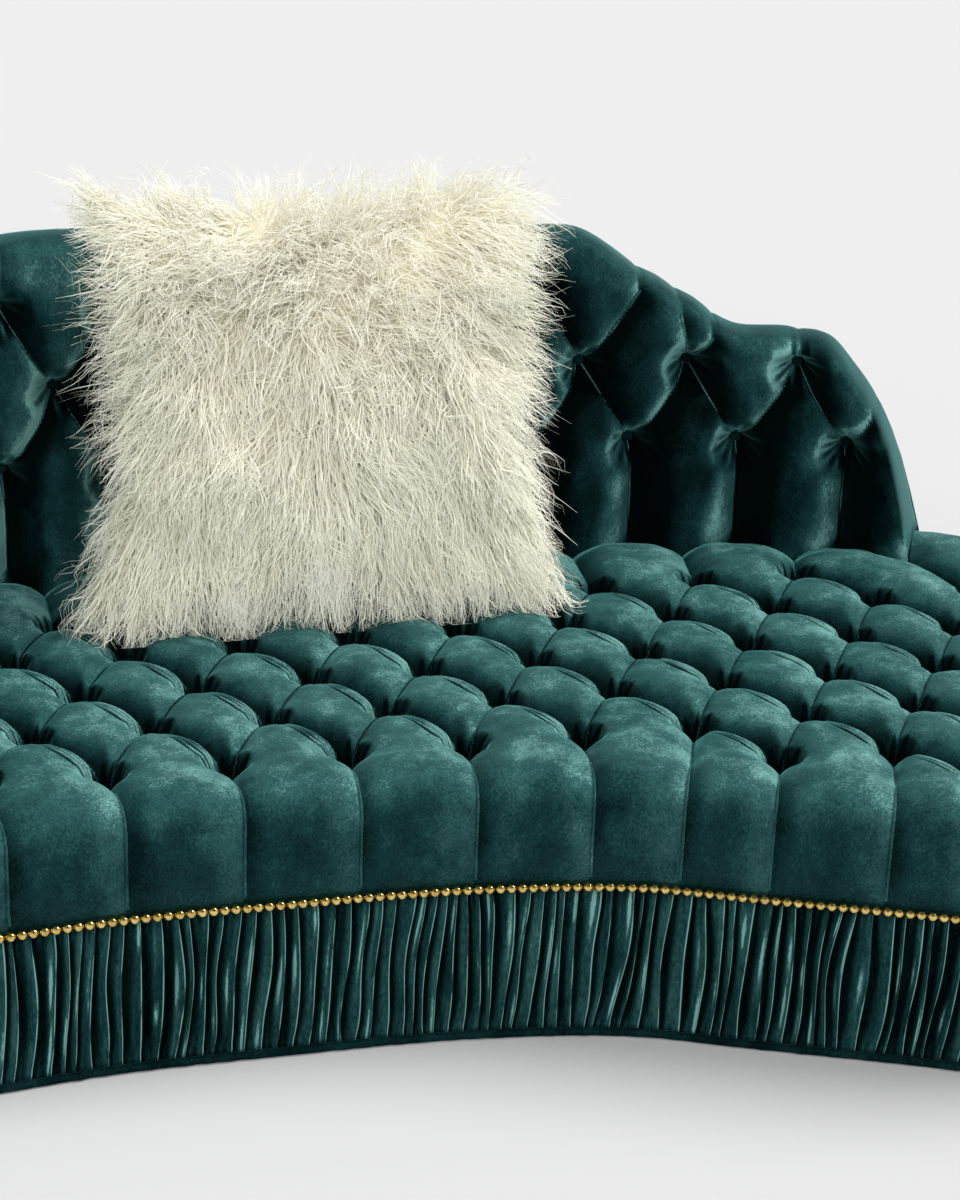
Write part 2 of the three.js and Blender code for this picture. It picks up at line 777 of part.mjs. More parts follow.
function buildSeatCushion() {
  const heightAt = (p) => {
    const edge = nearestOnRing(p, seatRing);
    const share = puffShare(p, tufts.buttons, tufts.folds, tuftPitch);
    return tuftBottom + tuftDepth * share - (edge.point.open ? rimDrop(edge.gap) : 0);
  };
  const columns = [
    ...openEdge.map((column) => ({ ...column, inset: nailInset, open: true })),
    { along: -endGap, inset: seatBackInset, ridge: 0 },
    ...backStations.slice(1, -1).map((along) => ({ along, inset: seatBackInset, ridge: 0 })),
    { along: backLength + endGap, inset: seatBackInset, ridge: 0 },
  ];
  const edgePoint = ({ along, inset, ridge, open }) => {
    if (open) {
      const drop = mix(seamDrop, rimRollDrop, ridge);
      return place(along, inset + mix(seamInset, rimRidgeInset, ridge), seatHeight - drop);
    }
    const p = place(along, inset, 0);
    return p.setZ(heightAt(place(along, inset + nailInset, 0)) - nailInset);
  };
  const top = columns.map(edgePoint);
  const edge = [...top];
  const isFree = (p, gap) => top.every((q) => Math.hypot(p.x - q.x, p.y - q.y) > gap);
  const addTop = (p, edgeGap, gap) => {
    if (!inRing(p, seatRing) || nearestOnRing(p, seatRing).gap < edgeGap || !isFree(p, gap)) return;
    top.push(p.clone().setZ(heightAt(p)));
  };
  for (const { along, inset, open } of columns) {
    const insets = open ? [0.35 * rimRollWidth, rimRollWidth] : [0.55 * rimRollWidth];
    const spacing = 0.1 * tuftPitch;
    for (const more of insets) addTop(place(along, inset + more, 0), 0.8 * more, spacing);
  }
  const spread = 0.16 * tuftPitch;
  tufts.buttons.forEach((p) => addTop(p, tuftEdge / 2, spread));
  tufts.inner.forEach(([a, b]) => addTop(a.clone().lerp(b, 0.5), tuftEdge / 2, spread));
  const crowns = new Map();
  for (const { p, m, n } of tufts.keys.values()) {
    for (const [dm, dn] of [[-1, 0], [1, 0], [0, -1], [0, 1]]) {
      const crown = p.clone().add(new THREE.Vector3((dm * tuftPitch) / 2, dn * tuftRowPitch, 0));
      crowns.set(m + dm + "," + (n + dn), crown);
    }
  }
  for (const p of crowns.values()) addTop(p, tuftEdge, spread);
  const flank = new THREE.Vector3(0.135 * tuftPitch, 0.26 * tuftRowPitch, 0);
  for (const p of crowns.values()) {
    for (const [sx, sy] of [[-1, -1], [1, -1], [1, 1], [-1, 1]]) {
      addTop(p.clone().add(flank.clone().multiply(new THREE.Vector3(sx, sy, 0))), tuftEdge, spread);
    }
  }
  const faces = triangulate(top, length).filter((face) => {
    const centre = face.reduce((sum, k) => sum.add(top[k]), new THREE.Vector3()).divideScalar(3);
    return inRing(centre, edge);
  });
  const points = [...top];
  const bulgeHeight = (nailTop + seatHeight - rimRollDrop) / 2;
  const levels = [
    ({ along, inset, ridge, open }) => {
      const out = open ? mix(-seamTuck, rimBulge, ridge) : 0;
      return placeOnGrid(along, inset - out, bulgeHeight);
    },
    ({ along, inset }) => placeOnGrid(along, inset, nailTop + clearance),
    ({ along, inset }) => placeOnGrid(along, inset, cushionFoot),
  ];
  let upper = edge.map((_, i) => i);
  for (const level of levels) {
    const lower = columns.map((column) => points.push(level(column)) - 1);
    upper.forEach((_, i) => {
      const j = (i + 1) % upper.length;
      faces.push([upper[i], lower[i], lower[j]], [upper[i], lower[j], upper[j]]);
    });
    upper = lower;
  }
  const floor = upper.map((k) => [points[k].x, points[k].y]);
  faces.push(...capOf(floor, -1).map((face) => face.map((k) => upper[k])));
  add("seat_cushion", solidFrom(points, faces), materials.velvet);
}

// Underside of the crest rail, which never comes lower than the plate.
const plateFoot = frameTop + clearance;
const plateTop = plateFoot + backPlateHeight;
function crestRailFoot(along) {
  return Math.max(crestAt(along) - crestRoll - crestRailHeight, plateTop + clearance);
}

function buildBackPad() {
  const { buttons, folds } = backTufts();
  const rows = [cushionFoot, seatHeight, backTuftHeight - 0.5 * backTuftRowPitch];
  for (let k = 0; k < 2 * backTuftRows - 1; k++) {
    rows.push(backTuftHeight + (k * backTuftRowPitch) / 2);
  }
  const section = (along) => {
    const x = backColumns[backStations.indexOf(along)];
    const crest = crestAt(along);
    const face = (height) => {
      const p = new THREE.Vector3(x, height, 0);
      const puff = height > seatHeight ? puffShare(p, buttons, folds, backTuftPitch) : 1;
      return backFaceAt(height) - backTuftDepth * (1 - puff);
    };
    const shoulder = crest - crestRoll;
    const front = rows.map((row, i) => {
      const cap = mix(cushionFoot, shoulder, ((i + 1) / (rows.length + 1)) ** 0.6);
      const height = i === 0 ? cushionFoot : Math.min(row, cap);
      return [face(height), height];
    });
    const rear = leaning(nailInset, shoulder);
    const hook = leaning(padRearInset, shoulder);
    const foot = leaning(padRearInset, cushionFoot);
    const width = face(shoulder) - rear;
    const roll = [0.97, 0.75, 0.3, 0.03].map((share) => [
      rear + share * width,
      shoulder + crestRoll * Math.sqrt(Math.max(0, 1 - (2 * share - 1) ** 4)),
    ]);
    return [
      ...front,
      ...roll,
      [rear, shoulder + backClearance],
      [leaning(nailInset + backBoard, shoulder), shoulder + backClearance],
      [leaning(timberInset, shoulder), shoulder + backClearance],
      [hook, shoulder + backClearance],
      ...[crestRailFoot(along), plateTop].map((height) => [leaning(padRearInset, height), height]),
      [foot, cushionFoot],
    ];
  };
  add("back_pad", runAlong(backStations, section), materials.velvet);
}

// Timber of the back: a plate on the top rails, posts on it, and the shaped crest rail.
function buildBackFrame() {
  const slab = (footAt, topAt) => (along) => {
    const foot = footAt(along);
    const top = topAt(along);
    return [
      [leaning(timberInset, top), top],
      [leaning(timberInset + backTimber, top), top],
      [leaning(timberInset + backTimber, foot), foot],
      [leaning(timberInset, foot), foot],
    ];
  };
  const railTop = (along) => crestAt(along) - crestRoll;
  add("back_plate", runAlong(backStations, slab(() => plateFoot, () => plateTop)), materials.plywood);
  add("crest_rail", runAlong(backStations, slab(crestRailFoot, railTop)), materials.plywood);
  for (let i = 0; i < postCount; i++) {
    const at = Math.round(((i + 1) * backStations.length) / (postCount + 1));
    const middle = backStations[at];
    const span = [middle - postWidth / 2, middle, middle + postWidth / 2];
    const foot = () => plateTop + clearance;
    const post = slab(foot, (along) => onGrid(along, crestRailFoot) - backClearance);
    add("back_post_" + (i + 1), runAlong(span, post), materials.timber);
  }
  const board = (along) => {
    const top = crestAt(along) - crestRoll;
    return [
      [leaning(nailInset, top), top],
      [leaning(nailInset + backBoard, top), top],
      [leaning(nailInset + backBoard, boardFoot), boardFoot],
      [leaning(nailInset, boardFoot), boardFoot],
    ];
  };
  const middle = Math.round(backStations.length / 2);
  add("foot_back_board", runAlong(runFrom(0, middle), board), materials.velvet);
  add("head_back_board", runAlong(runFrom(middle, backStations.length - 1), board), materials.velvet);
}

// Pillow: a crowned square with sides drawn in between its corners.
function buildPillow() {
  const count = 12;
  const points = [];
  const faces = [];
  const keys = new Map();
  const pointAt = (i, j, side) => {
    const rim = i === 0 || j === 0 || i === count || j === count;
    const key = i + "," + j + "," + (rim ? 0 : side);
    if (keys.has(key)) return keys.get(key);
    const u = Math.sin((Math.PI / 2) * mix(-1, 1, i / count));
    const v = Math.sin((Math.PI / 2) * mix(-1, 1, j / count));
    const x = (pillowWidth / 2) * u * (1 - 0.07 * (1 - v * v) * u * u);
    const z = (pillowTall / 2) * v * (1 - 0.07 * (1 - u * u) * v * v);
    const swell = ((1 - u ** 4) * (1 - v ** 4)) ** 0.45;
    const y = (side * pillowThickness * swell) / 2;
    keys.set(key, points.push(new THREE.Vector3(x, rim ? 0 : y, z)) - 1);
    return keys.get(key);
  };
  for (const side of [-1, 1]) {
    for (let i = 0; i < count; i++) {
      for (let j = 0; j < count; j++) {
        const corners = [[i, j], [i + 1, j], [i + 1, j + 1], [i, j + 1]];
        const [a, b, c, d] = corners.map(([p, q]) => pointAt(p, q, side));
        const quad = side < 0 ? [[a, b, c], [a, c, d]] : [[a, c, b], [a, d, c]];
        faces.push(...quad);
      }
    }
  }
  const geometry = solidFrom(points, faces).rotateX(-pillowLean);
  geometry.computeBoundingBox();
  const pillow = add("fur_pillow", geometry, materials.fur);
  const above = 2 * seatHeight - geometry.boundingBox.min.z;
  const half = pillowThickness / 2 / Math.cos(pillowLean);
  const [, rear] = spanAt(pillowX, leaning(0, crestHeight));
  const crestFace = rear - (backFaceAt(crestHeight) - leaning(0, crestHeight));
  const middle = seatHeight - geometry.boundingBox.min.z;
  const reach = (crestHeight - crestRoll - middle) * Math.tan(pillowLean) + half;
  pillow.position.set(pillowX, crestFace - reach - clearance, above);
  couch.updateMatrixWorld(true);
  const cushion = couch.getObjectByName("seat_cushion");
  const drop = Math.min(heightOver(pillow, cushion, -1), heightOver(cushion, pillow, 1));
  pillow.position.z -= drop - clearance;
}

// Least height between the corners and edge middles of one piece and another above or below it.
function heightOver(piece, other, side) {
  const { index, attributes } = piece.geometry;
  const { position } = attributes;
  const corner = (k) => piece.localToWorld(new THREE.Vector3().fromBufferAttribute(position, k));
  const ray = new THREE.Raycaster();
  let least = Infinity;
  for (let i = 0; i < index.count; i += 3) {
    const ring = [0, 1, 2].map((k) => corner(index.getX(i + k)));
    for (const [a, b] of [[0, 1], [1, 2], [2, 0]]) {
      for (const p of [ring[a], ring[a].clone().lerp(ring[b], 0.5)]) {
        ray.set(p, new THREE.Vector3(0, 0, side));
        const hit = ray.intersectObject(other)[0];
        if (hit) least = Math.min(least, hit.distance);
      }
    }
  }
  return least;
}

buildRails();
buildLegs();
buildBlocks();
buildBearers();
buildSprings();
buildSheets();
buildPanels();
buildSkirt();
buildTrim();
buildSeatCushion();
buildBackPad();
buildBackFrame();
buildPillow();

// The couch stands on the origin, at the middle of its own length and depth.
const box = new THREE.Box3().setFromObject(couch);
couch.position.set(-(box.min.x + box.max.x) / 2, -(box.min.y + box.max.y) / 2, 0);

const root = new THREE.Group();
root.add(couch);
export default root;
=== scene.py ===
import math
import bpy
import numpy as np
from mathutils import Matrix, Vector


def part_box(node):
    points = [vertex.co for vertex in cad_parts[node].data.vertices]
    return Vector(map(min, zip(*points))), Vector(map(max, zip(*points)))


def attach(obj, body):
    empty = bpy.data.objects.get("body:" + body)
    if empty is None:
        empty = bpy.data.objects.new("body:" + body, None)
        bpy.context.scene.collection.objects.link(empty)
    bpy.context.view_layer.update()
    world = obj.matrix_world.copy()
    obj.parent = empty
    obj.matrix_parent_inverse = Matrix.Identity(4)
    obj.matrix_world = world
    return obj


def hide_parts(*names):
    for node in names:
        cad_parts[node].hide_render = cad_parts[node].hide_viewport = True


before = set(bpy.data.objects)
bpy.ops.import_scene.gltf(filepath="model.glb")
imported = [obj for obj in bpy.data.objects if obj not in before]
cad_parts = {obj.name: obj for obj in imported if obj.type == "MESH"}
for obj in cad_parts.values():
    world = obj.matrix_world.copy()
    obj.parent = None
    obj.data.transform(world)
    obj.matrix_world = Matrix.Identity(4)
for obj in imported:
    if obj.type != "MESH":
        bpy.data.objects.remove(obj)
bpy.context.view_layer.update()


# Outline shared by every piece, the same as the solid model's.

plan = {
    "length": 2.46,
    "depth": 1.205,
    "crest": 0.903,  # highest point of the back
    "seat": 0.4,  # top of the seat's puffs
    "backShare": 0.4182,  # share of the outline that the back takes, from its foot end
    "clearance": 0.0003,
    "samples": 4800,
    "smooth": 12,  # samples to each side that a normal is taken over
    "legShare": 0.35,  # place of the first leg, in steps from leg to leg
    "legs": 7,
    "legInset": 0.064,
}
planShares = [
    (0.369, 0.373), (0.28, 0.447), (0.207, 0.48), (0.126, 0.495), (-0.037, 0.5), (-0.199, 0.498),
    (-0.28, 0.491), (-0.362, 0.454), (-0.435, 0.363), (-0.484, 0.213), (-0.5, 0.031), (-0.492, -0.16),
    (-0.461, -0.289), (-0.411, -0.334), (-0.334, -0.295), (-0.269, -0.275), (-0.203, -0.262),
    (-0.13, -0.261), (-0.012, -0.268), (0.077, -0.298), (0.138, -0.349), (0.207, -0.407),
    (0.285, -0.471), (0.366, -0.499), (0.447, -0.426), (0.492, -0.251), (0.5, -0.061),
    (0.482, 0.139), (0.427, 0.288),
]
sweepShares = [
    (0, 0.02), (0.063, 0.255), (0.129, 0.43), (0.208, 0.55), (0.273, 0.622), (0.377, 0.636),
    (0.484, 0.628), (0.535, 0.642), (0.62, 0.708), (0.69, 0.76), (0.784, 0.825), (0.921, 0.93),
    (1, 0.952), (1.6, 0.985), (2.2, 1),
]


def mixed(a, b, t):
    return a + (b - a) * t


def unit(vectors, floor=0.0):
    return vectors / (np.linalg.norm(vectors, axis=-1, keepdims=True) + floor)


def eased(t):
    t = np.clip(t, 0, 1)
    return t * t * (3 - 2 * t)


def closedCurve(points, steps=400):
    pieces = []
    for i in range(len(points)):
        p0, p1, p2, p3 = (points[(i + k) % len(points)] for k in (-1, 0, 1, 2))
        d0, d1, d2 = (np.linalg.norm(b - a) ** 0.5 for a, b in ((p0, p1), (p1, p2), (p2, p3)))
        lead = ((p1 - p0) / d0 - (p2 - p0) / (d0 + d1) + (p2 - p1) / d1) * d1
        trail = ((p2 - p1) / d1 - (p3 - p1) / (d1 + d2) + (p3 - p2) / d2) * d1
        t = np.arange(steps)[:, None] / steps
        bend = -3 * p1 + 3 * p2 - 2 * lead - trail
        pieces.append(p1 + lead * t + bend * t**2 + (2 * p1 - 2 * p2 + lead + trail) * t**3)
    return np.concatenate(pieces)


rawLine = closedCurve(np.array(planShares) * [plan["length"], plan["depth"]])
closedLine = np.vstack([rawLine, rawLine[:1]])
rawLengths = np.concatenate([[0], np.cumsum(np.linalg.norm(np.diff(closedLine, axis=0), axis=1))])
perimeter = float(rawLengths[-1])
backLength = plan["backShare"] * perimeter
lineAt = np.arange(plan["samples"]) * perimeter / plan["samples"]
linePoints = np.stack([np.interp(lineAt, rawLengths, closedLine[:, k]) for k in (0, 1)], 1)
turn = np.roll(linePoints, -plan["smooth"], 0) - np.roll(linePoints, plan["smooth"], 0)
lineNormals = unit(np.stack([-turn[:, 1], turn[:, 0]], 1))


def around(values, along):
    at = np.mod(np.asarray(along, float), perimeter)
    wrapped = np.append(lineAt, perimeter)
    return np.stack([np.interp(at, wrapped, np.append(values[:, k], values[0, k])) for k in (0, 1)], -1)


def planAt(along, inset):
    normal = unit(around(lineNormals, along))
    return around(linePoints, along) + normal * np.asarray(inset, float)[..., None]


def placeAt(along, inset, height):
    along, inset, height = np.broadcast_arrays(along, inset, height)
    return np.concatenate([planAt(along, inset) + shift, height[..., None]], -1)


# The solid model stands on the middle of its box, so its first leg says how far this outline moves.
legLow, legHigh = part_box("leg_1")
legSpot = planAt(perimeter * plan["legShare"] / plan["legs"], plan["legInset"])
shift = (np.array(legLow) + np.array(legHigh))[:2] / 2 - legSpot


def fromTable(table, x):
    table = np.array(table, float)
    x = np.clip(x, table[0, 0], table[-1, 0])
    slopes = np.empty(len(table))
    slopes[1:-1] = (table[2:, 1] - table[:-2, 1]) / (table[2:, 0] - table[:-2, 0])
    slopes[0] = (table[1, 1] - table[0, 1]) / (table[1, 0] - table[0, 0])
    slopes[-1] = (table[-1, 1] - table[-2, 1]) / (table[-1, 0] - table[-2, 0])
    i = np.clip(np.searchsorted(table[:, 0], x, "right") - 1, 0, len(table) - 2)
    span = table[i + 1, 0] - table[i, 0]
    t = (x - table[i, 0]) / span
    bend = t * (1 - t) * span * ((1 - t) * slopes[i] - t * slopes[i + 1])
    return mixed(table[i, 1], table[i + 1, 1], t * t * (3 - 2 * t)) + bend


back = {
    "inset": 0.127,
    "topInset": 0.076,
    "faceOut": 0.0037,  # how far in front of it the face starts
    "rake": 0.03,  # lean to the rear at the crest
    "footSweep": 0.62,  # metres over which the crest rises at each end
    "headSweep": 0.7,
    "pitch": 0.1635,
    "rowPitch": 0.128,
    "start": 0.112,  # first column of buttons, from the foot end
    "firstRow": 0.535,
    "faceFoot": 0.35,
    "foldFoot": 0.39,  # where the lowest folds end, under the seat's top
    "depth": 0.095,  # of the pits low down
    "topDepth": 0.058,  # of the pits at the crest
    "swell": 0.008,
    "pitFlat": 0.009,
    "pitReach": 0.042,
    "pitPower": 0.8,
    "puffReach": 0.085,
    "puffPower": 0.8,
    "diagonalDepths": (0.62, 0.38, 0.62),  # of a fold, at its start, middle and end, as shares of a pit
    "uprightDepths": (0.70, 0.60, 0.60),
    "crestDepths": (0.55, 0.30, 0.26),
    "footTrim": 0.012,
    "rows": 3,
    "crestGap": 0.045,  # least distance of a button under the crest
    "crestDip": 0.009,  # notch in the crest where a fold ends
    "crestHalf": 0.075,
    "napAndPaintedLight": 0.30,  # painted light and shade on the pile, and what changes it
    "paintedLightRight": 0.70,
    "paintedShadeLeft": 0.42,
    "paintedShadeSunk": 0.30,
    "paintedLightTop": 0.56,
    "paintedLightEnd": 0.3,
    "paintedLightFacing": 0.45,
    "paintedLightHead": 0.38,
    "paintedShadeCrease": 0.30,
    "paintedLightUp": 0.16,
    "roll": 0.034,
    "rollSteps": 22,
    "rollPower": 0.8,  # under 1 is squarer
    "frameTop": 0.2275,
    "rearInset": 0.004,
    "board": 0.014,
    "lipInset": 0.0186,
    "padRear": 0.0496,
    "spacing": 0.0036,  # of the mesh
}


def crestAt(along):
    foot = fromTable(sweepShares, along / back["footSweep"])
    head = fromTable(sweepShares, (backLength - along) / back["headSweep"])
    return plan["seat"] + (plan["crest"] - plan["seat"]) * np.minimum(foot, head)


def leaning(inset, height):
    rise = np.clip((height - back["frameTop"]) / (plan["crest"] - back["frameTop"]), 0, 1)
    return inset - back["rake"] * rise


def backFaceAt(height):
    rise = np.clip((height - plan["seat"]) / (plan["crest"] - plan["seat"]), 0, 1)
    return mixed(back["inset"] + back["faceOut"], back["topInset"], rise)


# Helpers for meshes, noise and materials.


def waves(points, size, seed, count=14):
    # Smooth noise about 1 high, made of waves near one size.
    rng = np.random.default_rng(seed)
    points = np.asarray(points, float)
    total = np.zeros(points.shape[:-1])
    for _ in range(count):
        direction = rng.normal(size=points.shape[-1])
        direction *= rng.uniform(0.6, 1.5) / np.linalg.norm(direction)
        total += np.cos(points @ direction * (2 * math.pi / size) + rng.uniform(0, 2 * math.pi))
    return total * math.sqrt(2 / count)


def meshFrom(name, points, faces, body="couch", smoothShade=True):
    mesh = bpy.data.meshes.new(name)
    points = np.ascontiguousarray(points, float)
    loops = np.concatenate([np.asarray(group).reshape(-1) for group in faces]).astype(np.int32)
    totals = np.concatenate([np.full(len(group), np.shape(group)[1]) for group in faces])
    firsts = np.concatenate([[0], np.cumsum(totals)[:-1]])
    mesh.vertices.add(len(points))
    mesh.vertices.foreach_set("co", points.reshape(-1))
    mesh.loops.add(len(loops))
    mesh.loops.foreach_set("vertex_index", loops)
    mesh.polygons.add(len(totals))
    mesh.polygons.foreach_set("loop_start", firsts.astype(np.int32))
    mesh.polygons.foreach_set("loop_total", totals.astype(np.int32))
    mesh.polygons.foreach_set("use_smooth", np.full(len(totals), smoothShade))
    mesh.update(calc_edges=True)
    mesh.validate()
    piece = bpy.data.objects.new(name, mesh)
    bpy.context.scene.collection.objects.link(piece)
    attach(piece, body)
    return piece


def joined(name, parts):
    # One piece from several sets of points and faces.
    faces, first = [], 0
    for points, groups in parts:
        faces += [group + first for group in groups]
        first += len(points)
    return meshFrom(name, np.concatenate([points for points, _ in parts]), faces)


def gridFaces(rows, columns, closeRows=False, closeColumns=False):
    # Quads over a grid of points kept row by row.
    i = np.arange(rows if closeRows else rows - 1)[:, None]
    j = np.arange(columns if closeColumns else columns - 1)[None, :]
    a = i * columns + j
    b = i * columns + (j + 1) % columns
    c = ((i + 1) % rows) * columns + (j + 1) % columns
    d = ((i + 1) % rows) * columns + j
    return np.stack([a, b, c, d], -1).reshape(-1, 4)


def sweptFaces(rows, columns):
    # A closed outline of rows points, swept over columns stations and capped at both ends.
    cap = np.arange(rows) * columns
    return [gridFaces(rows, columns, closeRows=True), cap[::-1][None], cap[None] + columns - 1]


def cappedFaces(count, rings, sides):
    # Faces of count closed forms, each made of rings with a cap at both ends.
    starts = (np.arange(count) * rings * sides)[:, None]
    quads = (gridFaces(rings, sides, closeColumns=True)[None] + starts[:, None]).reshape(-1, 4)
    cap = np.arange(sides)[None]
    return [quads, np.concatenate([cap[:, ::-1] + starts, cap + (rings - 1) * sides + starts])]


def angles(sides):
    return np.arange(sides) * 2 * math.pi / sides


def spokes(side, rise, sides):
    # Directions round a circle, which lies on side and rise.
    angle = angles(sides)[:, None]
    return side[..., None, :] * np.cos(angle) + rise[..., None, :] * np.sin(angle)


def tubes(paths, radii, sides):
    # One closed tapered tube for each path: paths is (count, steps, 3) and radii (count, steps).
    ahead = unit(np.gradient(paths, axis=1), 1e-12)
    up = np.where(np.abs(ahead[..., 2:3]) > 0.9, [[[1.0, 0, 0]]], [[[0, 0, 1.0]]])
    side = unit(np.cross(ahead, up), 1e-12)
    ring = spokes(side, np.cross(side, ahead), sides)
    points = paths[:, :, None] + ring * radii[:, :, None, None]
    return points.reshape(-1, 3), cappedFaces(*radii.shape, sides)


def ribbons(paths, radii, facing):
    # One closed tapered strand for each path, with a flat side that looks along facing.
    ahead = unit(np.gradient(paths, axis=1), 1e-12)
    side = unit(np.cross(ahead, facing[:, None]), 1e-9)
    inward = np.cross(side, ahead) * -0.6
    inward *= -np.sign((inward * facing[:, None]).sum(2, keepdims=True))
    ring = np.stack([-side, side, inward], 2)
    points = paths[:, :, None] + ring * radii[:, :, None, None]
    return points.reshape(-1, 3), cappedFaces(*radii.shape, 3)


def domes(centres, outward, radius, height, rings, sides, first=0.0):
    # One closed dome for each centre, facing outward. A first level under 0 makes it a ball.
    up = np.where(np.abs(outward[:, 2:3]) > 0.9, [[1.0, 0, 0]], [[0, 0, 1.0]])
    side = unit(np.cross(up, outward))
    spoke = spokes(side, np.cross(outward, side), sides) * radius
    bulge = outward[:, None] * height
    levels = np.linspace(first, 0.94, rings) * math.pi / 2
    rows = [centres[:, None] + spoke * math.cos(v) + bulge * math.sin(v) for v in levels]
    return np.stack(rows, 1).reshape(-1, 3), cappedFaces(len(centres), rings, sides)


def between(a, b, t):
    # Points on the straight line from a to b.
    return a + t[:, None] * (b - a)


def newMaterial(name):
    material = bpy.data.materials.new(name)
    material.use_nodes = True
    return material, material.node_tree.nodes, material.node_tree.links


def objectPoint(nodes, links, stretch=(1, 1, 1)):
    place = nodes.new("ShaderNodeTexCoord")
    mapping = nodes.new("ShaderNodeMapping")
    mapping.inputs["Scale"].default_value = stretch
    links.new(place.outputs["Object"], mapping.inputs["Vector"])
    return mapping.outputs["Vector"]


def noiseOf(nodes, links, vector, scale, detail=3.0, roughness=0.55):
    noise = nodes.new("ShaderNodeTexNoise")
    noise.inputs["Scale"].default_value = scale
    noise.inputs["Detail"].default_value = detail
    noise.inputs["Roughness"].default_value = roughness
    links.new(vector, noise.inputs["Vector"])
    return noise.outputs["Fac"]


def rampOf(nodes, links, value, stops):
    ramp = nodes.new("ShaderNodeValToRGB")
    elements = ramp.color_ramp.elements
    while len(elements) < len(stops):
        elements.new(0.5)
    for element, (at, colour) in zip(elements, stops):
        element.position = at
        element.color = (*colour, 1)
    links.new(value, ramp.inputs["Fac"])
    return ramp.outputs["Color"]


def bumpOf(nodes, links, value, strength, distance):
    bump = nodes.new("ShaderNodeBump")
    bump.inputs["Strength"].default_value = strength
    bump.inputs["Distance"].default_value = distance
    links.new(value, bump.inputs["Height"])
    return bump.outputs["Normal"]


def rangeOf(nodes, links, value, numbers):
    # Maps the first two numbers onto the last two.
    mapped = nodes.new("ShaderNodeMapRange")
    for name, number in zip(("From Min", "From Max", "To Min", "To Max"), numbers):
        mapped.inputs[name].default_value = number
    links.new(value, mapped.inputs["Value"])
    return mapped.outputs["Result"]


def addedOf(nodes, links, value, noise, share):
    # The value plus a share of the noise, which is taken as even about one half.
    scaled, total = nodes.new("ShaderNodeMath"), nodes.new("ShaderNodeMath")
    scaled.operation, total.operation = "MULTIPLY_ADD", "ADD"
    scaled.inputs[1].default_value = share
    scaled.inputs[2].default_value = -share / 2
    links.new(noise, scaled.inputs[0])
    links.new(scaled.outputs[0], total.inputs[0])
    links.new(value, total.inputs[1])
    return total.outputs[0]


def pointValueOf(nodes, name):
    layer = nodes.new("ShaderNodeAttribute")
    layer.attribute_name = name
    return layer.outputs["Fac"]


velvetLook = {
    # Colours from the painted shade, near black, through the velvet's own teal to the painted highlight.
    "stops": [
        (0.0, (0.0004, 0.0018, 0.0022)),
        (0.25, (0.0026, 0.0110, 0.0120)),
        (0.5, (0.0085, 0.0400, 0.0410)),
        (0.75, (0.0330, 0.1080, 0.1040)),
        (1.0, (0.1900, 0.4100, 0.3800)),
    ],
    "patchScale": 16,
    "patchShare": 0.85,
    "grainScale": 330,
    "grainShare": 0.6,
    "tint": (0.30, 1.0, 0.95),  # of the sheen and the gloss
    "sheenRoughness": 0.28,
    "roughness": (0.36, 0.56),
}


def velvetMaterial(name, napStretch, sheenWeight, specular):
    # The painted light and shade of each point, lighter where light falls and darker in shade, sets how
    # light the pile's colour is, and noise brushes it into patches.
    material, nodes, links = newMaterial(name)
    shader = nodes["Principled BSDF"]
    shader.inputs["Sheen Weight"].default_value = sheenWeight
    shader.inputs["Sheen Roughness"].default_value = velvetLook["sheenRoughness"]
    shader.inputs["Sheen Tint"].default_value = (*velvetLook["tint"], 1)
    shader.inputs["Specular IOR Level"].default_value = specular
    shader.inputs["Specular Tint"].default_value = (*velvetLook["tint"], 1)
    point = objectPoint(nodes, links, napStretch)
    patches = noiseOf(nodes, links, point, velvetLook["patchScale"], 12, 0.68)
    grain = noiseOf(nodes, links, point, velvetLook["grainScale"], 3, 0.7)
    brushed = addedOf(nodes, links, pointValueOf(nodes, "napAndPaintedLight"), patches, velvetLook["patchShare"])
    grained = addedOf(nodes, links, brushed, grain, velvetLook["grainShare"])
    links.new(rampOf(nodes, links, grained, velvetLook["stops"]), shader.inputs["Base Color"])
    rough = rangeOf(nodes, links, patches, (0.35, 0.65, *velvetLook["roughness"]))
    links.new(rough, shader.inputs["Roughness"])
    links.new(bumpOf(nodes, links, grain, 0.6, 0.0009), shader.inputs["Normal"])
    return material


def woodMaterial(name, dark, light, roughness, stretch):
    material, nodes, links = newMaterial(name)
    shader = nodes["Principled BSDF"]
    grain = noiseOf(nodes, links, objectPoint(nodes, links, stretch), 30, 6, 0.6)
    links.new(rampOf(nodes, links, grain, [(0.35, dark), (0.65, light)]), shader.inputs["Base Color"])
    shader.inputs["Roughness"].default_value = roughness
    links.new(bumpOf(nodes, links, grain, 0.12, 0.0008), shader.inputs["Normal"])
    return material


def clothMaterial(name, dark, light, pitch):
    material, nodes, links = newMaterial(name)
    shader = nodes["Principled BSDF"]
    point = objectPoint(nodes, links)
    weave = nodes.new("ShaderNodeTexVoronoi")
    weave.inputs["Scale"].default_value = 1 / pitch
    links.new(point, weave.inputs["Vector"])
    colour = rampOf(nodes, links, noiseOf(nodes, links, point, 260, 4), [(0.35, dark), (0.65, light)])
    links.new(colour, shader.inputs["Base Color"])
    shader.inputs["Roughness"].default_value = 0.9
    links.new(bumpOf(nodes, links, weave.outputs["Distance"], 0.4, pitch / 3), shader.inputs["Normal"])
    return material


def metalMaterial(name, dark, light, roughness):
    material, nodes, links = newMaterial(name)
    shader = nodes["Principled BSDF"]
    wear = noiseOf(nodes, links, objectPoint(nodes, links), 120, 4)
    links.new(rampOf(nodes, links, wear, [(0.35, dark), (0.65, light)]), shader.inputs["Base Color"])
    shader.inputs["Metallic"].default_value = 1
    rough = rangeOf(nodes, links, wear, (0, 1, roughness - 0.05, roughness + 0.1))
    links.new(rough, shader.inputs["Roughness"])
    return material


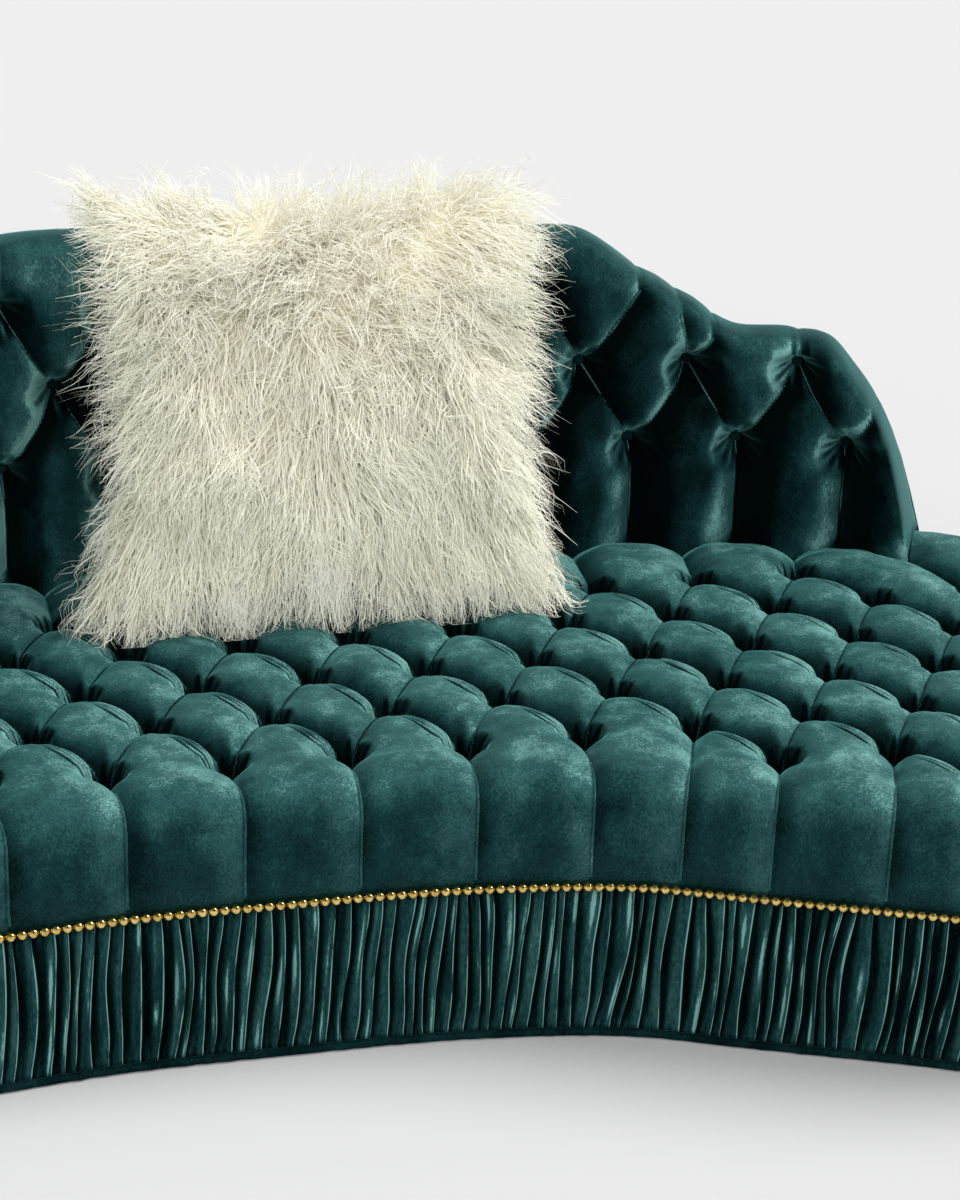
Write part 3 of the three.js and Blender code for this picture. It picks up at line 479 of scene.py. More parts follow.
def dress(piece, material, layerName="", values=0):
    # The layer keeps one value for each point, which the material reads.
    if layerName:
        layer = piece.data.attributes.new(layerName, "FLOAT", "POINT")
        spread = np.broadcast_to(values, len(piece.data.vertices))
        layer.data.foreach_set("value", np.ascontiguousarray(spread, np.float32))
    piece.data.materials.clear()
    piece.data.materials.append(material)


velvet = velvetMaterial("tealVelvet", (1, 1, 0.7), 0.5, 0.03)
skirtVelvet = velvetMaterial("tealVelvetGathered", (1, 1, 0.35), 0.15, 0.0)
print("scene: helpers and velvet ready")


# Tufting of the seat: buttons, the folds that join them and the puffs between.

seat = {
    "pitch": 0.165,
    "rowPitch": 0.121,
    "columnX": -0.0125,  # place of one button
    "rowY": -0.183,
    "edge": 0.085,  # least distance of a button from the edge
    "rimReach": 0.225,  # buttons nearer to the edge start a seam over the rim
    "rimWidth": 0.074,
    "rimDrop": 0.05,
    "bulge": 0.01,  # of a channel's wall, in front of the outline
    "seamIn": 0.006,
    "seamTuck": 0.006,  # of a seam, behind it
    "wallHalf": 0.055,  # half the width of a channel
    "openInset": 0.004,
    "backInset": 0.131,
    "endGap": 0.0006,
    "nailTop": 0.2425,
    "foot": 0.2302,
    "footStep": 0.004,
    "pitDepth": 0.085,
    "pitFlat": 0.013,  # radius under a button
    "pitReach": 0.025,
    "pitPower": 0.75,
    "puffReach": 0.064,  # distance from a fold at which a puff levels off
    "puffPower": 0.72,
    "pleatedDepths": (0.62, 0.33, 0.40),  # of a fold, at its start, middle and end, as shares of a pit
    "pleatedBow": 0.020,  # how far a puff bulges over the fold
    "sewnDepths": (0.46, 0.15, 0.32),
    "rimDepths": (0.46, 0.24, 0.11),
    "rearDepths": (0.46, 0.34, 0.34),
    "seamGap": 0.62,  # least distance between two seams, in pitches
    "swells": ((0.0005, 0.06, 5, 0.05), (0.0011, 0.17, 8, 0.06)),  # depth, size, seed and reach of each
    "backTuck": 0.014,
    "tuckReach": 0.045,
    "napAndPaintedLight": 0.76,  # painted light and shade on the pile, and what changes it
    "paintedLightRight": 0.24,
    "paintedShadeNear": 0.14,
    "paintedShadeFold": 0.24,
    "paintedShadePleat": 1.0,
    "paintedShadePit": 0.95,
    "shadeReach": (0.014, 0.018),  # where a pit's painted shade starts to fade, and over how far
    "wallPaintedLight": 0.47,
    "rimSteps": 24,
    "wallSteps": 27,
    "spacing": 0.0029,  # of the mesh
    "ringSpacing": 0.012,  # of the outline that buttons are measured from
}
seatTrim = {
    "pleatSteps": 26,
    "pleatStart": 0.0160,  # distance of the first pleat from its fold
    "pleatPitch": 0.0094,
    "pleatRadius": (0.0027, 0.0025, 0.0022),  # one for each pleat
    "pleatSink": 0.0040,
    "slitWidth": 0.0020,
    "seamSteps": 60,
    "seamRadius": 0.0013,
    "edgeOffset": 0.0022,  # seams on the edge stand beside its grooves
    "edgeRadius": 0.0020,
    "buttonRadius": 0.0085,
    "buttonHeight": 0.005,
    "paintedLights": (0.88, 0.30, 0.66),  # painted highlight of pleats, painted shade of seams and painted highlight of edge seams
}


def evenSteps(start, end, spacing):
    count = max(1, round(abs(end - start) / spacing))
    return np.linspace(start, end, count + 1)[:-1]


def seatLoop(openInset, spacing):
    # Closed loop of the seat: distance along, inset, and whether it is on the open edge.
    gap, deep = seat["endGap"], seat["backInset"]
    sides = [
        (evenSteps(backLength + gap, perimeter - gap, spacing), openInset, 1),
        (-gap, evenSteps(openInset, deep, spacing), 0),
        (evenSteps(-gap, backLength + gap, spacing), deep, 0),
        (backLength + gap, evenSteps(deep, openInset, spacing), 0),
    ]
    return np.concatenate([np.stack(np.broadcast_arrays(*side), 1) for side in sides])


def insideLoop(points, loop):
    inside = np.zeros(len(points), bool)
    for (ax, ay), (bx, by) in zip(loop, np.roll(loop, -1, 0)):
        crosses = np.nonzero((ay > points[:, 1]) != (by > points[:, 1]))[0]
        x = ax + (bx - ax) * (points[crosses, 1] - ay) / (by - ay) if len(crosses) else 0
        hit = crosses[points[crosses, 0] < x]
        inside[hit] = ~inside[hit]
    return inside


def nearestOf(points, others, chunk=6000):
    gaps, at = np.empty(len(points)), np.empty(len(points), int)
    for i in range(0, len(points), chunk):
        part = points[i:i + chunk]
        d2 = (part[:, None, 0] - others[None, :, 0]) ** 2 + (part[:, None, 1] - others[None, :, 1]) ** 2
        at[i:i + chunk] = d2.argmin(1)
        gaps[i:i + chunk] = np.sqrt(d2.min(1))
    return gaps, at


coarseLoop = seatLoop(seat["openInset"], seat["ringSpacing"])
coarseRing = planAt(coarseLoop[:, 0], coarseLoop[:, 1])
openRing = coarseRing[coarseLoop[:, 2] > 0]


def seatTufts():
    # Buttons on a diamond lattice, the folds between them and the buttons that start a rim seam.
    keys = [(m, n) for m in range(-30, 31) for n in range(-10, 11) if (m + n) % 2 == 0]
    x, y = seat["columnX"], seat["rowY"]
    spots = np.array([(x + m * seat["pitch"] / 2, y + n * seat["rowPitch"]) for m, n in keys])
    gaps, at = nearestOf(spots, coarseRing)
    kept = insideLoop(spots, coarseRing) & (gaps >= seat["edge"])
    buttons = {keys[i]: (spots[i], gaps[i], at[i]) for i in np.nonzero(kept)[0]}
    pleated, sewn = [], []
    for (m, n), (spot, _, _) in buttons.items():
        if (m - 1, n + 1) in buttons:
            pleated.append((spot, buttons[(m - 1, n + 1)][0]))
        if (m + 1, n + 1) in buttons:
            sewn.append((spot, buttons[(m + 1, n + 1)][0]))
    seams = []
    outer = sorted((b for b in buttons.values() if b[1] <= seat["rimReach"]), key=lambda b: b[1])
    for button in outer:
        away = [np.linalg.norm(coarseRing[s[2]] - coarseRing[button[2]]) for s in seams]
        if all(gap > seat["seamGap"] * seat["pitch"] for gap in away):
            seams.append(button)
    return buttons, pleated, sewn, seams


seatButtons, seatPleated, seatSewn, seatSeams = seatTufts()
seatSpots = np.array([b[0] for b in seatButtons.values()])
seatFolds = [(a, b, seat["pleatedDepths"], seat["pleatedBow"]) for a, b in seatPleated]
seatFolds += [(a, b, seat["sewnDepths"], 0) for a, b in seatSewn]
for seam in seatSeams:
    depths = seat["rimDepths"] if coarseLoop[seam[2], 2] > 0 else seat["rearDepths"]
    seatFolds.append((seam[0], coarseRing[seam[2]], depths, 0))
openSeams = np.array(sorted(coarseLoop[s[2], 0] for s in seatSeams if coarseLoop[s[2], 2] > 0))
wallMarks = np.concatenate([[backLength - 0.02], openSeams, [perimeter + 0.02]])


def foldParts(points, a, b, bow):
    # Share of the fold, distance to it and side of it. A bow lets the puff on its left bulge over it.
    length = np.linalg.norm(b - a)
    along = (b - a) / length
    across = np.array([-along[1], along[0]])
    rel = points - a
    reach = rel @ along
    t = np.clip(reach / length, 0, 1)
    side = rel @ across + bow * 4 * t * (1 - t)
    return t, np.hypot(side, reach - t * length), side


def nearFold(points, a, b, margin):
    # Numbers of the points that lie near a fold.
    reach = np.linalg.norm(b - a) / 2 + margin
    return np.nonzero(np.abs(points - (a + b) / 2).max(1) < reach)[0]


def bulged(t, power=0.5):
    # Rises steeply from 0 and levels off at 1, as stuffed cloth does beside a seam.
    return (1 - (1 - np.clip(t, 0, 1)) ** 2) ** power


def puffDrop(points, spots, folds, look):
    # 0 on a crown and 1 at a button. Each fold has its depths at its start, middle and end.
    weights, depths = np.ones(len(points)), np.zeros(len(points))
    for a, b, (start, middle, end), bow in folds:
        near = nearFold(points, a, b, look["pitch"])
        t, gap, _ = foldParts(points[near], a, b, bow)
        weight = (gap + look["pitch"] / 1000) ** -4
        weights[near] += weight
        depths[near] += weight * (
            start * (1 - t) * (1 - 2 * t) + 4 * middle * t * (1 - t) + end * t * (2 * t - 1)
        )
    dome = bulged(weights**-0.25 / look["puffReach"], look["puffPower"])
    buttonGap, at = nearestOf(points, spots)
    valley = depths / weights * (1 - dome)
    pit = 1 - bulged((buttonGap - look["pitFlat"]) / look["pitReach"], look["pitPower"])
    return valley + pit * (1 - valley), buttonGap, at


creases = {"depth": 0.002, "ring": 0.024, "width": 0.013}


def pitRays(points, spots, at, seed, rays):
    # Angle round the nearest button, with that button's own phase and number of rays.
    rng = np.random.default_rng(seed)
    phases = rng.uniform(0, 2 * math.pi, len(spots))
    counts = rng.integers(*rays, len(spots))
    rel = points - spots[at]
    return np.arctan2(rel[:, 1], rel[:, 0]), phases[at], counts[at]


def pitCreases(points, spots, gaps, at, seed, farSide=True):
    # Short creases that radiate from each pit, deepest just outside it and, on the seat, on its far side.
    angle, phase, rays = pitRays(points, spots, at, seed, (8, 12))
    ring = np.exp(-(((gaps - creases["ring"]) / creases["width"]) ** 2))
    upper = 0.35 + 0.65 * eased(0.5 + np.sin(angle)) if farSide else 0.8
    folds = np.sin(angle * rays + phase + 0.8 * np.sin(2 * angle + phase))
    return creases["depth"] * ring * upper * folds


def pleatGap(number, t):
    # Distance of one pleat from its fold: the pleats lie side by side and draw together at both ends.
    fan = 0.15 + 0.85 * np.sin(math.pi * np.clip((t + 0.05) / 0.95, 0, 1))
    start = seatTrim["pleatStart"] * (0.45 + 0.55 * eased(t / 0.32))
    return start + number * seatTrim["pleatPitch"] * fan


def pleatSlits(points):
    # 1 in the slits between the pleats, on the near side of each pleated fold.
    slits = np.zeros(len(points))
    for a, b in seatPleated:
        near = nearFold(points, a, b, seat["pitch"] / 3)
        t, gap, side = foldParts(points[near], a, b, seat["pleatedBow"])
        ends = eased((t + 0.01) / 0.06) * eased((0.82 - t) / 0.4) * (side > 0)
        for number in range(len(seatTrim["pleatRadius"])):
            share = ends * np.exp(-(((gap - pleatGap(number + 0.5, t)) / seatTrim["slitWidth"]) ** 2))
            slits[near] = np.maximum(slits[near], share)
    return slits


def seatHeightAt(points, detail=True):
    drop, gaps, at = puffDrop(points, seatSpots, seatFolds, seat)
    height = plan["seat"] - seat["pitDepth"] * drop
    if detail:
        height -= seatTrim["pleatSink"] * pleatSlits(points)
        height += pitCreases(points, seatSpots, gaps, at, 11)
        for depth, size, seed, reach in seat["swells"]:
            height += depth * waves(points, size, seed) * np.clip(gaps / reach, 0, 1)
    return height


def pitShade(points, gaps, at):
    # Painted shade of a pit of the seat: 1 in the pit and 0 away from it, with a ragged far edge.
    angle, phase, rays = pitRays(points, seatSpots, at, 12, (10, 15))
    ragged = 1 + 0.3 * np.sin(angle * rays + phase) * eased(0.4 + np.sin(angle))
    start, reach = seat["shadeReach"]
    return 1 - eased((gaps * ragged - start) / reach)


def seatPaintedLightAt(points):
    # Painted light and shade: dark in pits, pleat slits, folds and near flanks, lighter where the top
    # faces right towards the light.
    step = 0.002
    drop, gaps, at = puffDrop(points, seatSpots, seatFolds, seat)
    right, _, _ = puffDrop(points + [step, 0], seatSpots, seatFolds, seat)
    near, _, _ = puffDrop(points - [0, step], seatSpots, seatFolds, seat)
    scale = seat["pitDepth"] / step
    napAndPaintedLight = seat["napAndPaintedLight"] + seat["paintedLightRight"] * np.clip((right - drop) * scale, -1, 1)
    napAndPaintedLight -= seat["paintedShadeNear"] * eased((near - drop) * scale / 0.6)
    napAndPaintedLight -= seat["paintedShadeFold"] * eased(drop / 0.45)
    napAndPaintedLight -= seat["paintedShadePleat"] * pleatSlits(points)
    return napAndPaintedLight - seat["paintedShadePit"] * pitShade(points, gaps, at)


def rimDrop(gap):
    t = np.clip(1 - gap / seat["rimWidth"], 0, 1)
    return seat["rimDrop"] * (1 - np.sqrt(1 - t**2.4))


def seamRidge(along):
    # 0 at a seam of the open edge and 1 on the ridge between two.
    gap = np.abs(along[:, None] - wallMarks).min(1)
    return np.sqrt(1 - (1 - np.clip(gap / seat["wallHalf"], 0, 1)) ** 2)


def rimProfile(along):
    # Inset and height from the top of the rim down to the nails, for each distance along the edge.
    ridge = seamRidge(along)
    theta = np.linspace(0, math.pi / 2, seat["rimSteps"])[:, None]
    gap = seat["rimWidth"] * (1 - np.sin(theta))
    inset = seat["openInset"] + gap + seat["seamIn"] * (1 - ridge) * np.sin(theta) ** 3
    spots = planAt(np.broadcast_to(along, inset.shape), seat["openInset"] + gap)
    top = seatHeightAt(spots.reshape(-1, 2)).reshape(inset.shape) - rimDrop(gap)
    w = np.linspace(0, 1, seat["wallSteps"])[1:, None]
    belly = np.sin(math.pi * w**0.85) ** 0.9 * mixed(-seat["seamTuck"], seat["bulge"], ridge)
    wallInset = seat["openInset"] + seat["seamIn"] * (1 - ridge) * (1 - w) - belly
    return np.vstack([inset, wallInset]), np.vstack([top, mixed(top[-1], seat["nailTop"], w)])


def wallPaintedLight(along, rows):
    # Painted light and shade on each channel of the edge: darker at its left, lighter at its right and
    # dark at its seam.
    i = np.clip(np.searchsorted(wallMarks, along, "right") - 1, 0, len(wallMarks) - 2)
    t = (along - wallMarks[i]) / (wallMarks[i + 1] - wallMarks[i])
    light, dark, seam = eased((t - 0.5) / 0.42), 1 - eased(t / 0.22), eased((t - 0.96) / 0.03)
    across = 0.30 * light - 0.30 * dark - 0.7 * seam
    return seat["wallPaintedLight"] + across[None] * np.linspace(1, 0.35, rows)[:, None]


def gridInside(ring):
    # Square cells that fit inside the ring, and the points of their border in order.
    g = seat["spacing"]
    low, high = ring.min(0), ring.max(0)
    gx, gy = np.meshgrid(np.arange(low[0], high[0], g), np.arange(low[1], high[1], g))
    flat = np.stack([gx.ravel(), gy.ravel()], 1)
    inside = insideLoop(flat, ring)
    near, _ = nearestOf(flat[inside], ring[::2])
    inside[np.nonzero(inside)[0][near < 0.8 * g]] = False
    keep = inside.reshape(gx.shape)
    rows, columns = np.nonzero(keep[:-1, :-1] & keep[1:, :-1] & keep[:-1, 1:] & keep[1:, 1:])
    wide = gx.shape[1]
    a = rows * wide + columns
    quads = np.stack([a, a + 1, a + wide + 1, a + wide], 1)
    used, inverse = np.unique(quads, return_inverse=True)
    quads = inverse.reshape(quads.shape)
    edges = np.concatenate([quads[:, [k, (k + 1) % 4]] for k in range(4)])
    codes = edges[:, 0] * len(used) + edges[:, 1]
    reverse = edges[:, 1] * len(used) + edges[:, 0]
    outer = edges[~np.isin(codes, reverse)]
    follow = dict(outer.tolist())
    border = [int(outer[0, 0])]
    while follow[border[-1]] != border[0]:
        border.append(follow[border[-1]])
    print("scene: seat grid", len(used), "points, border", len(border), "of", len(outer))
    return flat[used], quads, border


def bridged(ring, points, border):
    # Triangles between the grid's border and the ring, whose points come after the grid's.
    ringCount, borderCount, base = len(ring), len(border), len(points)
    edge = points[border]
    i, j = 0, int(nearestOf(ring[:1], edge)[1][0])
    done, triangles = [0, 0], []
    while done[0] < ringCount or done[1] < borderCount:
        nextI, nextJ = (i + 1) % ringCount, (j + 1) % borderCount
        outer = np.linalg.norm(ring[nextI] - edge[j])
        inner = np.linalg.norm(ring[i] - edge[nextJ])
        if done[1] >= borderCount or (done[0] < ringCount and outer <= inner):
            triangles.append((base + i, base + nextI, border[j]))
            i, done[0] = nextI, done[0] + 1
        else:
            triangles.append((base + i, border[nextJ], border[j]))
            j, done[1] = nextJ, done[1] + 1
    return np.array(triangles)


def buildSeat():
    loop = seatLoop(seat["openInset"] + seat["rimWidth"], seat["spacing"])
    ring = planAt(loop[:, 0], loop[:, 1])
    gridPoints, quads, border = gridInside(ring)
    base, openCount = len(gridPoints), int(loop[:, 2].sum())
    # Top: the grid, then the ring.
    top = np.vstack([gridPoints, ring])
    edgeAlong = loop[openCount:, 1] > seat["backInset"] - 0.001
    rearGap, _ = nearestOf(top, ring[openCount:][edgeAlong][::3])
    topHeight = seatHeightAt(top) - seat["backTuck"] * (1 - eased(rearGap / seat["tuckReach"]))
    topPoints = np.concatenate([top + shift, topHeight[:, None]], 1)
    # Open edge: the rim and the wall under it, down to the nails.
    along = np.append(loop[:openCount, 0], loop[openCount, 0] + perimeter)
    profileInset, profileHeight = rimProfile(along)
    wall = placeAt(along[None], profileInset, profileHeight)
    topPoints[base:base + openCount + 1] = wall[0]
    wallIndex = np.empty(profileInset.shape, int)
    wallIndex[0] = base + np.arange(openCount + 1)
    wallIndex[1:] = len(topPoints) + np.arange(wallIndex[1:].size).reshape(wallIndex[1:].shape)
    points = np.vstack([topPoints, wall[1:].reshape(-1, 3)])
    # Foot: straight down along the back, and stepped in under the open edge.
    rest = np.append(np.arange(base + openCount, base + len(ring)), base)
    dropped = points[rest] * [1, 1, 0] + [0, 0, seat["foot"]]
    footRing = placeAt(along, seat["openInset"] + seat["footStep"], seat["foot"])
    dropIndex = len(points) + np.arange(len(rest))
    footIndex = len(points) + len(rest) + np.arange(len(along))
    points = np.vstack([points, dropped, footRing])
    a, b, c, d = wallIndex[:-1, :-1], wallIndex[:-1, 1:], wallIndex[1:, 1:], wallIndex[1:, :-1]
    faces = [
        quads,
        bridged(ring, gridPoints, border),
        np.stack([a, d, c, b], -1).reshape(-1, 4),
        np.stack([rest[:-1], dropIndex[:-1], dropIndex[1:], rest[1:]], 1),
        np.stack([wallIndex[-1, :-1], footIndex[:-1], footIndex[1:], wallIndex[-1, 1:]], 1),
        np.concatenate([wallIndex[:, -1], footIndex[-1:], dropIndex[:1]])[None],
        np.concatenate([wallIndex[::-1, 0], dropIndex[-1:], footIndex[:1]])[None],
        np.concatenate([footIndex, dropIndex])[::-1][None],
    ]
    piece = meshFrom("tufted_seat", points, faces)
    # Painted light and shade of the pile: the top's, turning into the wall's over the rim.
    napAndPaintedLight = np.full(len(points), 0.2)
    napAndPaintedLight[:len(top)] = seatPaintedLightAt(top)
    roll = np.minimum(np.linspace(0, 2.1, len(wall)), 1)[:, None]
    spots = planAt(np.broadcast_to(along, profileInset.shape), profileInset).reshape(-1, 2)
    napAndPaintedLight[wallIndex] = mixed(seatPaintedLightAt(spots).reshape(wallIndex.shape), wallPaintedLight(along, len(wall)), roll)
    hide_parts("seat_cushion")
    dress(piece, velvet, "napAndPaintedLight", napAndPaintedLight)
    return len(piece.data.polygons)


seatFaces = buildSeat()
print("scene: seat made,", seatFaces, "faces")


def onSeat(points, lift):
    # Plan points set on the seat's top, with the rim's roll.
    flat = points.reshape(-1, 2)
    gap, _ = nearestOf(flat, openRing)
    height = seatHeightAt(flat, False) - rimDrop(gap) + lift
    return np.concatenate([flat + shift, height[:, None]], 1).reshape(*points.shape[:-1], 3)


def pleatTubes():
    rng = np.random.default_rng(21)
    t = np.linspace(0, 1, seatTrim["pleatSteps"])
    swell = np.clip(t / 0.12, 0, 1) ** 0.6 * np.clip((1 - t) / 0.5, 0, 1) ** 0.8
    paths, radii = [], []
    for a, b in seatPleated:
        direction = (b - a) / np.linalg.norm(b - a)
        across = np.array([direction[1], -direction[0]])
        for number, radius in enumerate(seatTrim["pleatRadius"]):
            start, end = rng.uniform(-0.01, 0.04), rng.uniform(0.58, 0.80) + 0.06 * (number == 0)
            along = mixed(start, end, t)
            place = number + rng.uniform(-0.12, 0.12)
            bow = seat["pleatedBow"] * 4 * along * (1 - along)
            paths.append(between(a, b, along) + across * (bow - pleatGap(place, along))[:, None])
            radii.append(radius * (0.1 + 0.9 * swell))
    return tubes(onSeat(np.array(paths), -0.0012), np.array(radii), 8)


def beadedTubes(paths, radius, swing):
    # Sewn seams, a little thicker at every other step.
    beads = radius * (1 + swing * (np.arange(paths.shape[1]) % 2))
    return tubes(paths, np.broadcast_to(beads, paths.shape[:2]), 6)


def edgeTubes():
    # Seams down the open edge.
    spots = openSeams - seatTrim["edgeOffset"]
    inset, height = rimProfile(spots)
    paths = placeAt(spots[None], inset, height + 0.0002).transpose(1, 0, 2)[:, 1:-1]
    radii = seatTrim["edgeRadius"] * (0.45 + 0.55 * np.minimum(np.linspace(0, 5, paths.shape[1]), 1))
    return tubes(paths, np.broadcast_to(radii, paths.shape[:2]), 8)


def buildSeatTrim():
    t = np.linspace(0.04, 0.96, seatTrim["seamSteps"])
    seams = onSeat(np.array([between(a, b, t) for a, b in seatSewn]), 0.0006)
    parts = [pleatTubes(), beadedTubes(seams, seatTrim["seamRadius"], 0.3), edgeTubes()]
    piece = joined("seat_pleats_and_seams", parts)
    # Pleats and edge seams get a painted highlight, the sewn seams a painted shade.
    paintedLights = np.repeat(seatTrim["paintedLights"], [len(points) for points, _ in parts])
    dress(piece, velvet, "napAndPaintedLight", paintedLights)


buildSeatTrim()
print("scene: seat pleats and seams made")


# Back: tufted face, rolled crest and the board outside.

faceAt = np.linspace(0, backLength, 1601)
facePoints = planAt(faceAt, back["inset"])
faceLengths = np.concatenate([[0], np.cumsum(np.linalg.norm(np.diff(facePoints, axis=0), axis=1))])


def alongFor(length):
    return np.interp(length, faceLengths, faceAt)


def backTufts():
    # Buttons over the face, the folds between them and those that run down or up to the crest.
    buttons = {}
    columns = int(2 * (faceLengths[-1] - back["start"]) // back["pitch"])
    for k in range(columns + 1):
        for row in range(k % 2, back["rows"], 2):
            x = back["start"] + k * back["pitch"] / 2
            y = back["firstRow"] + row * back["rowPitch"]
            if crestAt(alongFor(x)) - y >= back["crestGap"]:
                buttons[(k, row)] = np.array([x, y])
    diagonal, upright = [], []
    for (k, row), spot in buttons.items():
        if row == 0:
            upright.append((spot, np.array([spot[0], back["foldFoot"]])))
        bare = []
        for side in (-1, 1):
            if (k + side, row + 1) in buttons:
                diagonal.append((spot, buttons[(k + side, row + 1)]))
            else:
                bare.append(side)
        climb = crestAt(alongFor(spot[0] + 0.05)) - crestAt(alongFor(spot[0] - 0.05))
        level = len(bare) == 2 and abs(climb) < 0.012
        for lean in [0] if level else [side * (0.35 if side * climb > 0 else 1) for side in bare]:
            ahead = np.array([lean * back["pitch"] / 2, back["rowPitch"]])
            upright.append((spot, spot + ahead * crestReach(spot, ahead)))
    return buttons, diagonal, upright


def crestReach(spot, ahead):
    # How many times ahead fits between a button and the crest.
    steps = np.linspace(0, 6, 600)
    path = spot + steps[:, None] * ahead
    over = path[:, 1] > crestAt(alongFor(path[:, 0])) - back["roll"] * 0.6
    return steps[np.argmax(over)] if over.any() else steps[-1]


backButtons, backDiagonal, backUpright = backTufts()
backSpots = np.array(list(backButtons.values()))
backFolds = [(a, b, back["diagonalDepths"], 0) for a, b in backDiagonal]
backFolds += [(a, b, back["uprightDepths"], 0) for a, b in backUpright if b[1] < a[1]]
backFolds += [(a, b, back["crestDepths"], 0) for a, b in backUpright if b[1] > a[1]]


def backInsetAt(points, detail=True):
    drop, gaps, at = puffDrop(points, backSpots, backFolds, back)
    rise = np.clip((points[:, 1] - plan["seat"]) / (plan["crest"] - plan["seat"]), 0, 1)
    depth = mixed(back["depth"], back["topDepth"], rise)
    inset = backFaceAt(points[:, 1]) + back["swell"] - depth * drop
    if detail:
        inset += pitCreases(points, backSpots, gaps, at, 31, False) * 1.5
        inset += 0.0008 * waves(points, 0.07, 6) * np.clip(gaps / 0.05, 0, 1)
    return inset


def onBack(points, lift):
    flat = points.reshape(-1, 2)
    inset = backInsetAt(flat, False) + lift
    return placeAt(alongFor(flat[:, 0]), inset, flat[:, 1]).reshape(*points.shape[:-1], 3)


def backPaintedLight(face, columns, along, height, frontInset):
    # Painted light and shade: lighter towards the crest, the foot end, the head end and where the pads
    # face up or right, darker where they face left or down, sink in or crease.
    slope = np.gradient(frontInset, columns, axis=1)
    facingUp = np.gradient(frontInset, axis=0) / np.gradient(height, axis=0)
    sunk = np.clip((backFaceAt(height) + back["swell"] - frontInset) / 0.05, 0, 1)
    top = eased((height - height[-1] + 0.09) / 0.09)
    gaps, at = nearestOf(face, backSpots)
    rays = pitCreases(face, backSpots, gaps, at, 31, False).reshape(height.shape) / creases["depth"]
    return (
        mixed(back["napAndPaintedLight"], back["paintedLightTop"], top)
        + back["paintedLightEnd"] * eased(1 - columns / 0.08)
        + back["paintedLightFacing"] * np.clip(around(lineNormals, along)[:, 0], 0, 1)
        + back["paintedLightHead"] * eased((columns - 1.2) / 0.3)
        + back["paintedLightUp"] * (eased(facingUp / 0.6) - 1.6 * eased(-facingUp / 0.7))
        + back["paintedLightRight"] * eased(np.clip(slope, 0, 1) / 0.85)
        - back["paintedShadeLeft"] * eased(np.clip(-slope, 0, 1) / 0.6)
        - back["paintedShadeSunk"] * eased(sunk)
        - back["paintedShadeCrease"] * rays
    )


def buildBack():
    columns = np.linspace(0, faceLengths[-1], round(faceLengths[-1] / back["spacing"]) + 1)
    along = alongFor(columns)
    crest = crestAt(along)
    shoulder = crest - back["roll"]
    foot = back["faceFoot"]
    rise = np.linspace(0, 1, round((plan["crest"] - foot) / back["spacing"]))[:, None]
    height = mixed(np.minimum(foot, shoulder - 0.012), shoulder, rise)
    face = np.stack([np.broadcast_to(columns, height.shape), height], -1).reshape(-1, 2)
    frontInset = backInsetAt(face).reshape(height.shape)
    # Rolled crest, from the top of the face over to the rear.
    rear = leaning(back["rearInset"], shoulder)
    angle = np.linspace(0, math.pi, back["rollSteps"])[1:, None]
    share = 0.5 + 0.5 * np.sign(np.cos(angle)) * np.abs(np.cos(angle)) ** back["rollPower"]
    lift = np.sin(angle) ** back["rollPower"]
    seams = np.array([end[0] for spot, end in backUpright if end[1] > spot[1]])
    gap = np.abs(columns[:, None] - seams[None]).min(1)
    dip = back["crestDip"] * (1 - bulged(gap / back["crestHalf"])) * np.clip(crest * 8 - 4, 0, 1)
    rollInset = rear + share * (frontInset[-1] - rear)
    trim = back["footTrim"] * eased(1.3 - along / 0.25)
    rollHeight = shoulder + (back["roll"] - dip - trim) * lift
    # Lip behind the crest, then down the rear of the pad.
    lip = shoulder + 0.0008
    rearLine = [leaning(back["lipInset"], shoulder), leaning(back["padRear"], shoulder)]
    rearLine.append(leaning(back["padRear"], height[0]))
    inset = np.vstack([frontInset, rollInset, *rearLine])
    points = placeAt(along[None], inset, np.vstack([height, rollHeight, lip, lip, height[0]]))
    piece = meshFrom("tufted_back", points.reshape(-1, 3), sweptFaces(*inset.shape))
    napAndPaintedLight = np.full(inset.shape, 0.4)
    front, rolled = len(frontInset), len(frontInset) + len(rollInset)
    napAndPaintedLight[:front] = backPaintedLight(face, columns, along, height, frontInset)
    # The roll carries painted light, lighter towards its top.
    napAndPaintedLight[front:rolled] = mixed(napAndPaintedLight[front - 1], back["paintedLightTop"], lift)
    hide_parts("back_pad")
    dress(piece, velvet, "napAndPaintedLight", napAndPaintedLight.reshape(-1))


buildBack()
print("scene: back made")

backTrim = {"buttonRadius": 0.0095, "buttonHeight": 0.006, "seamRadius": 0.0011, "edgeRadius": 0.0019}


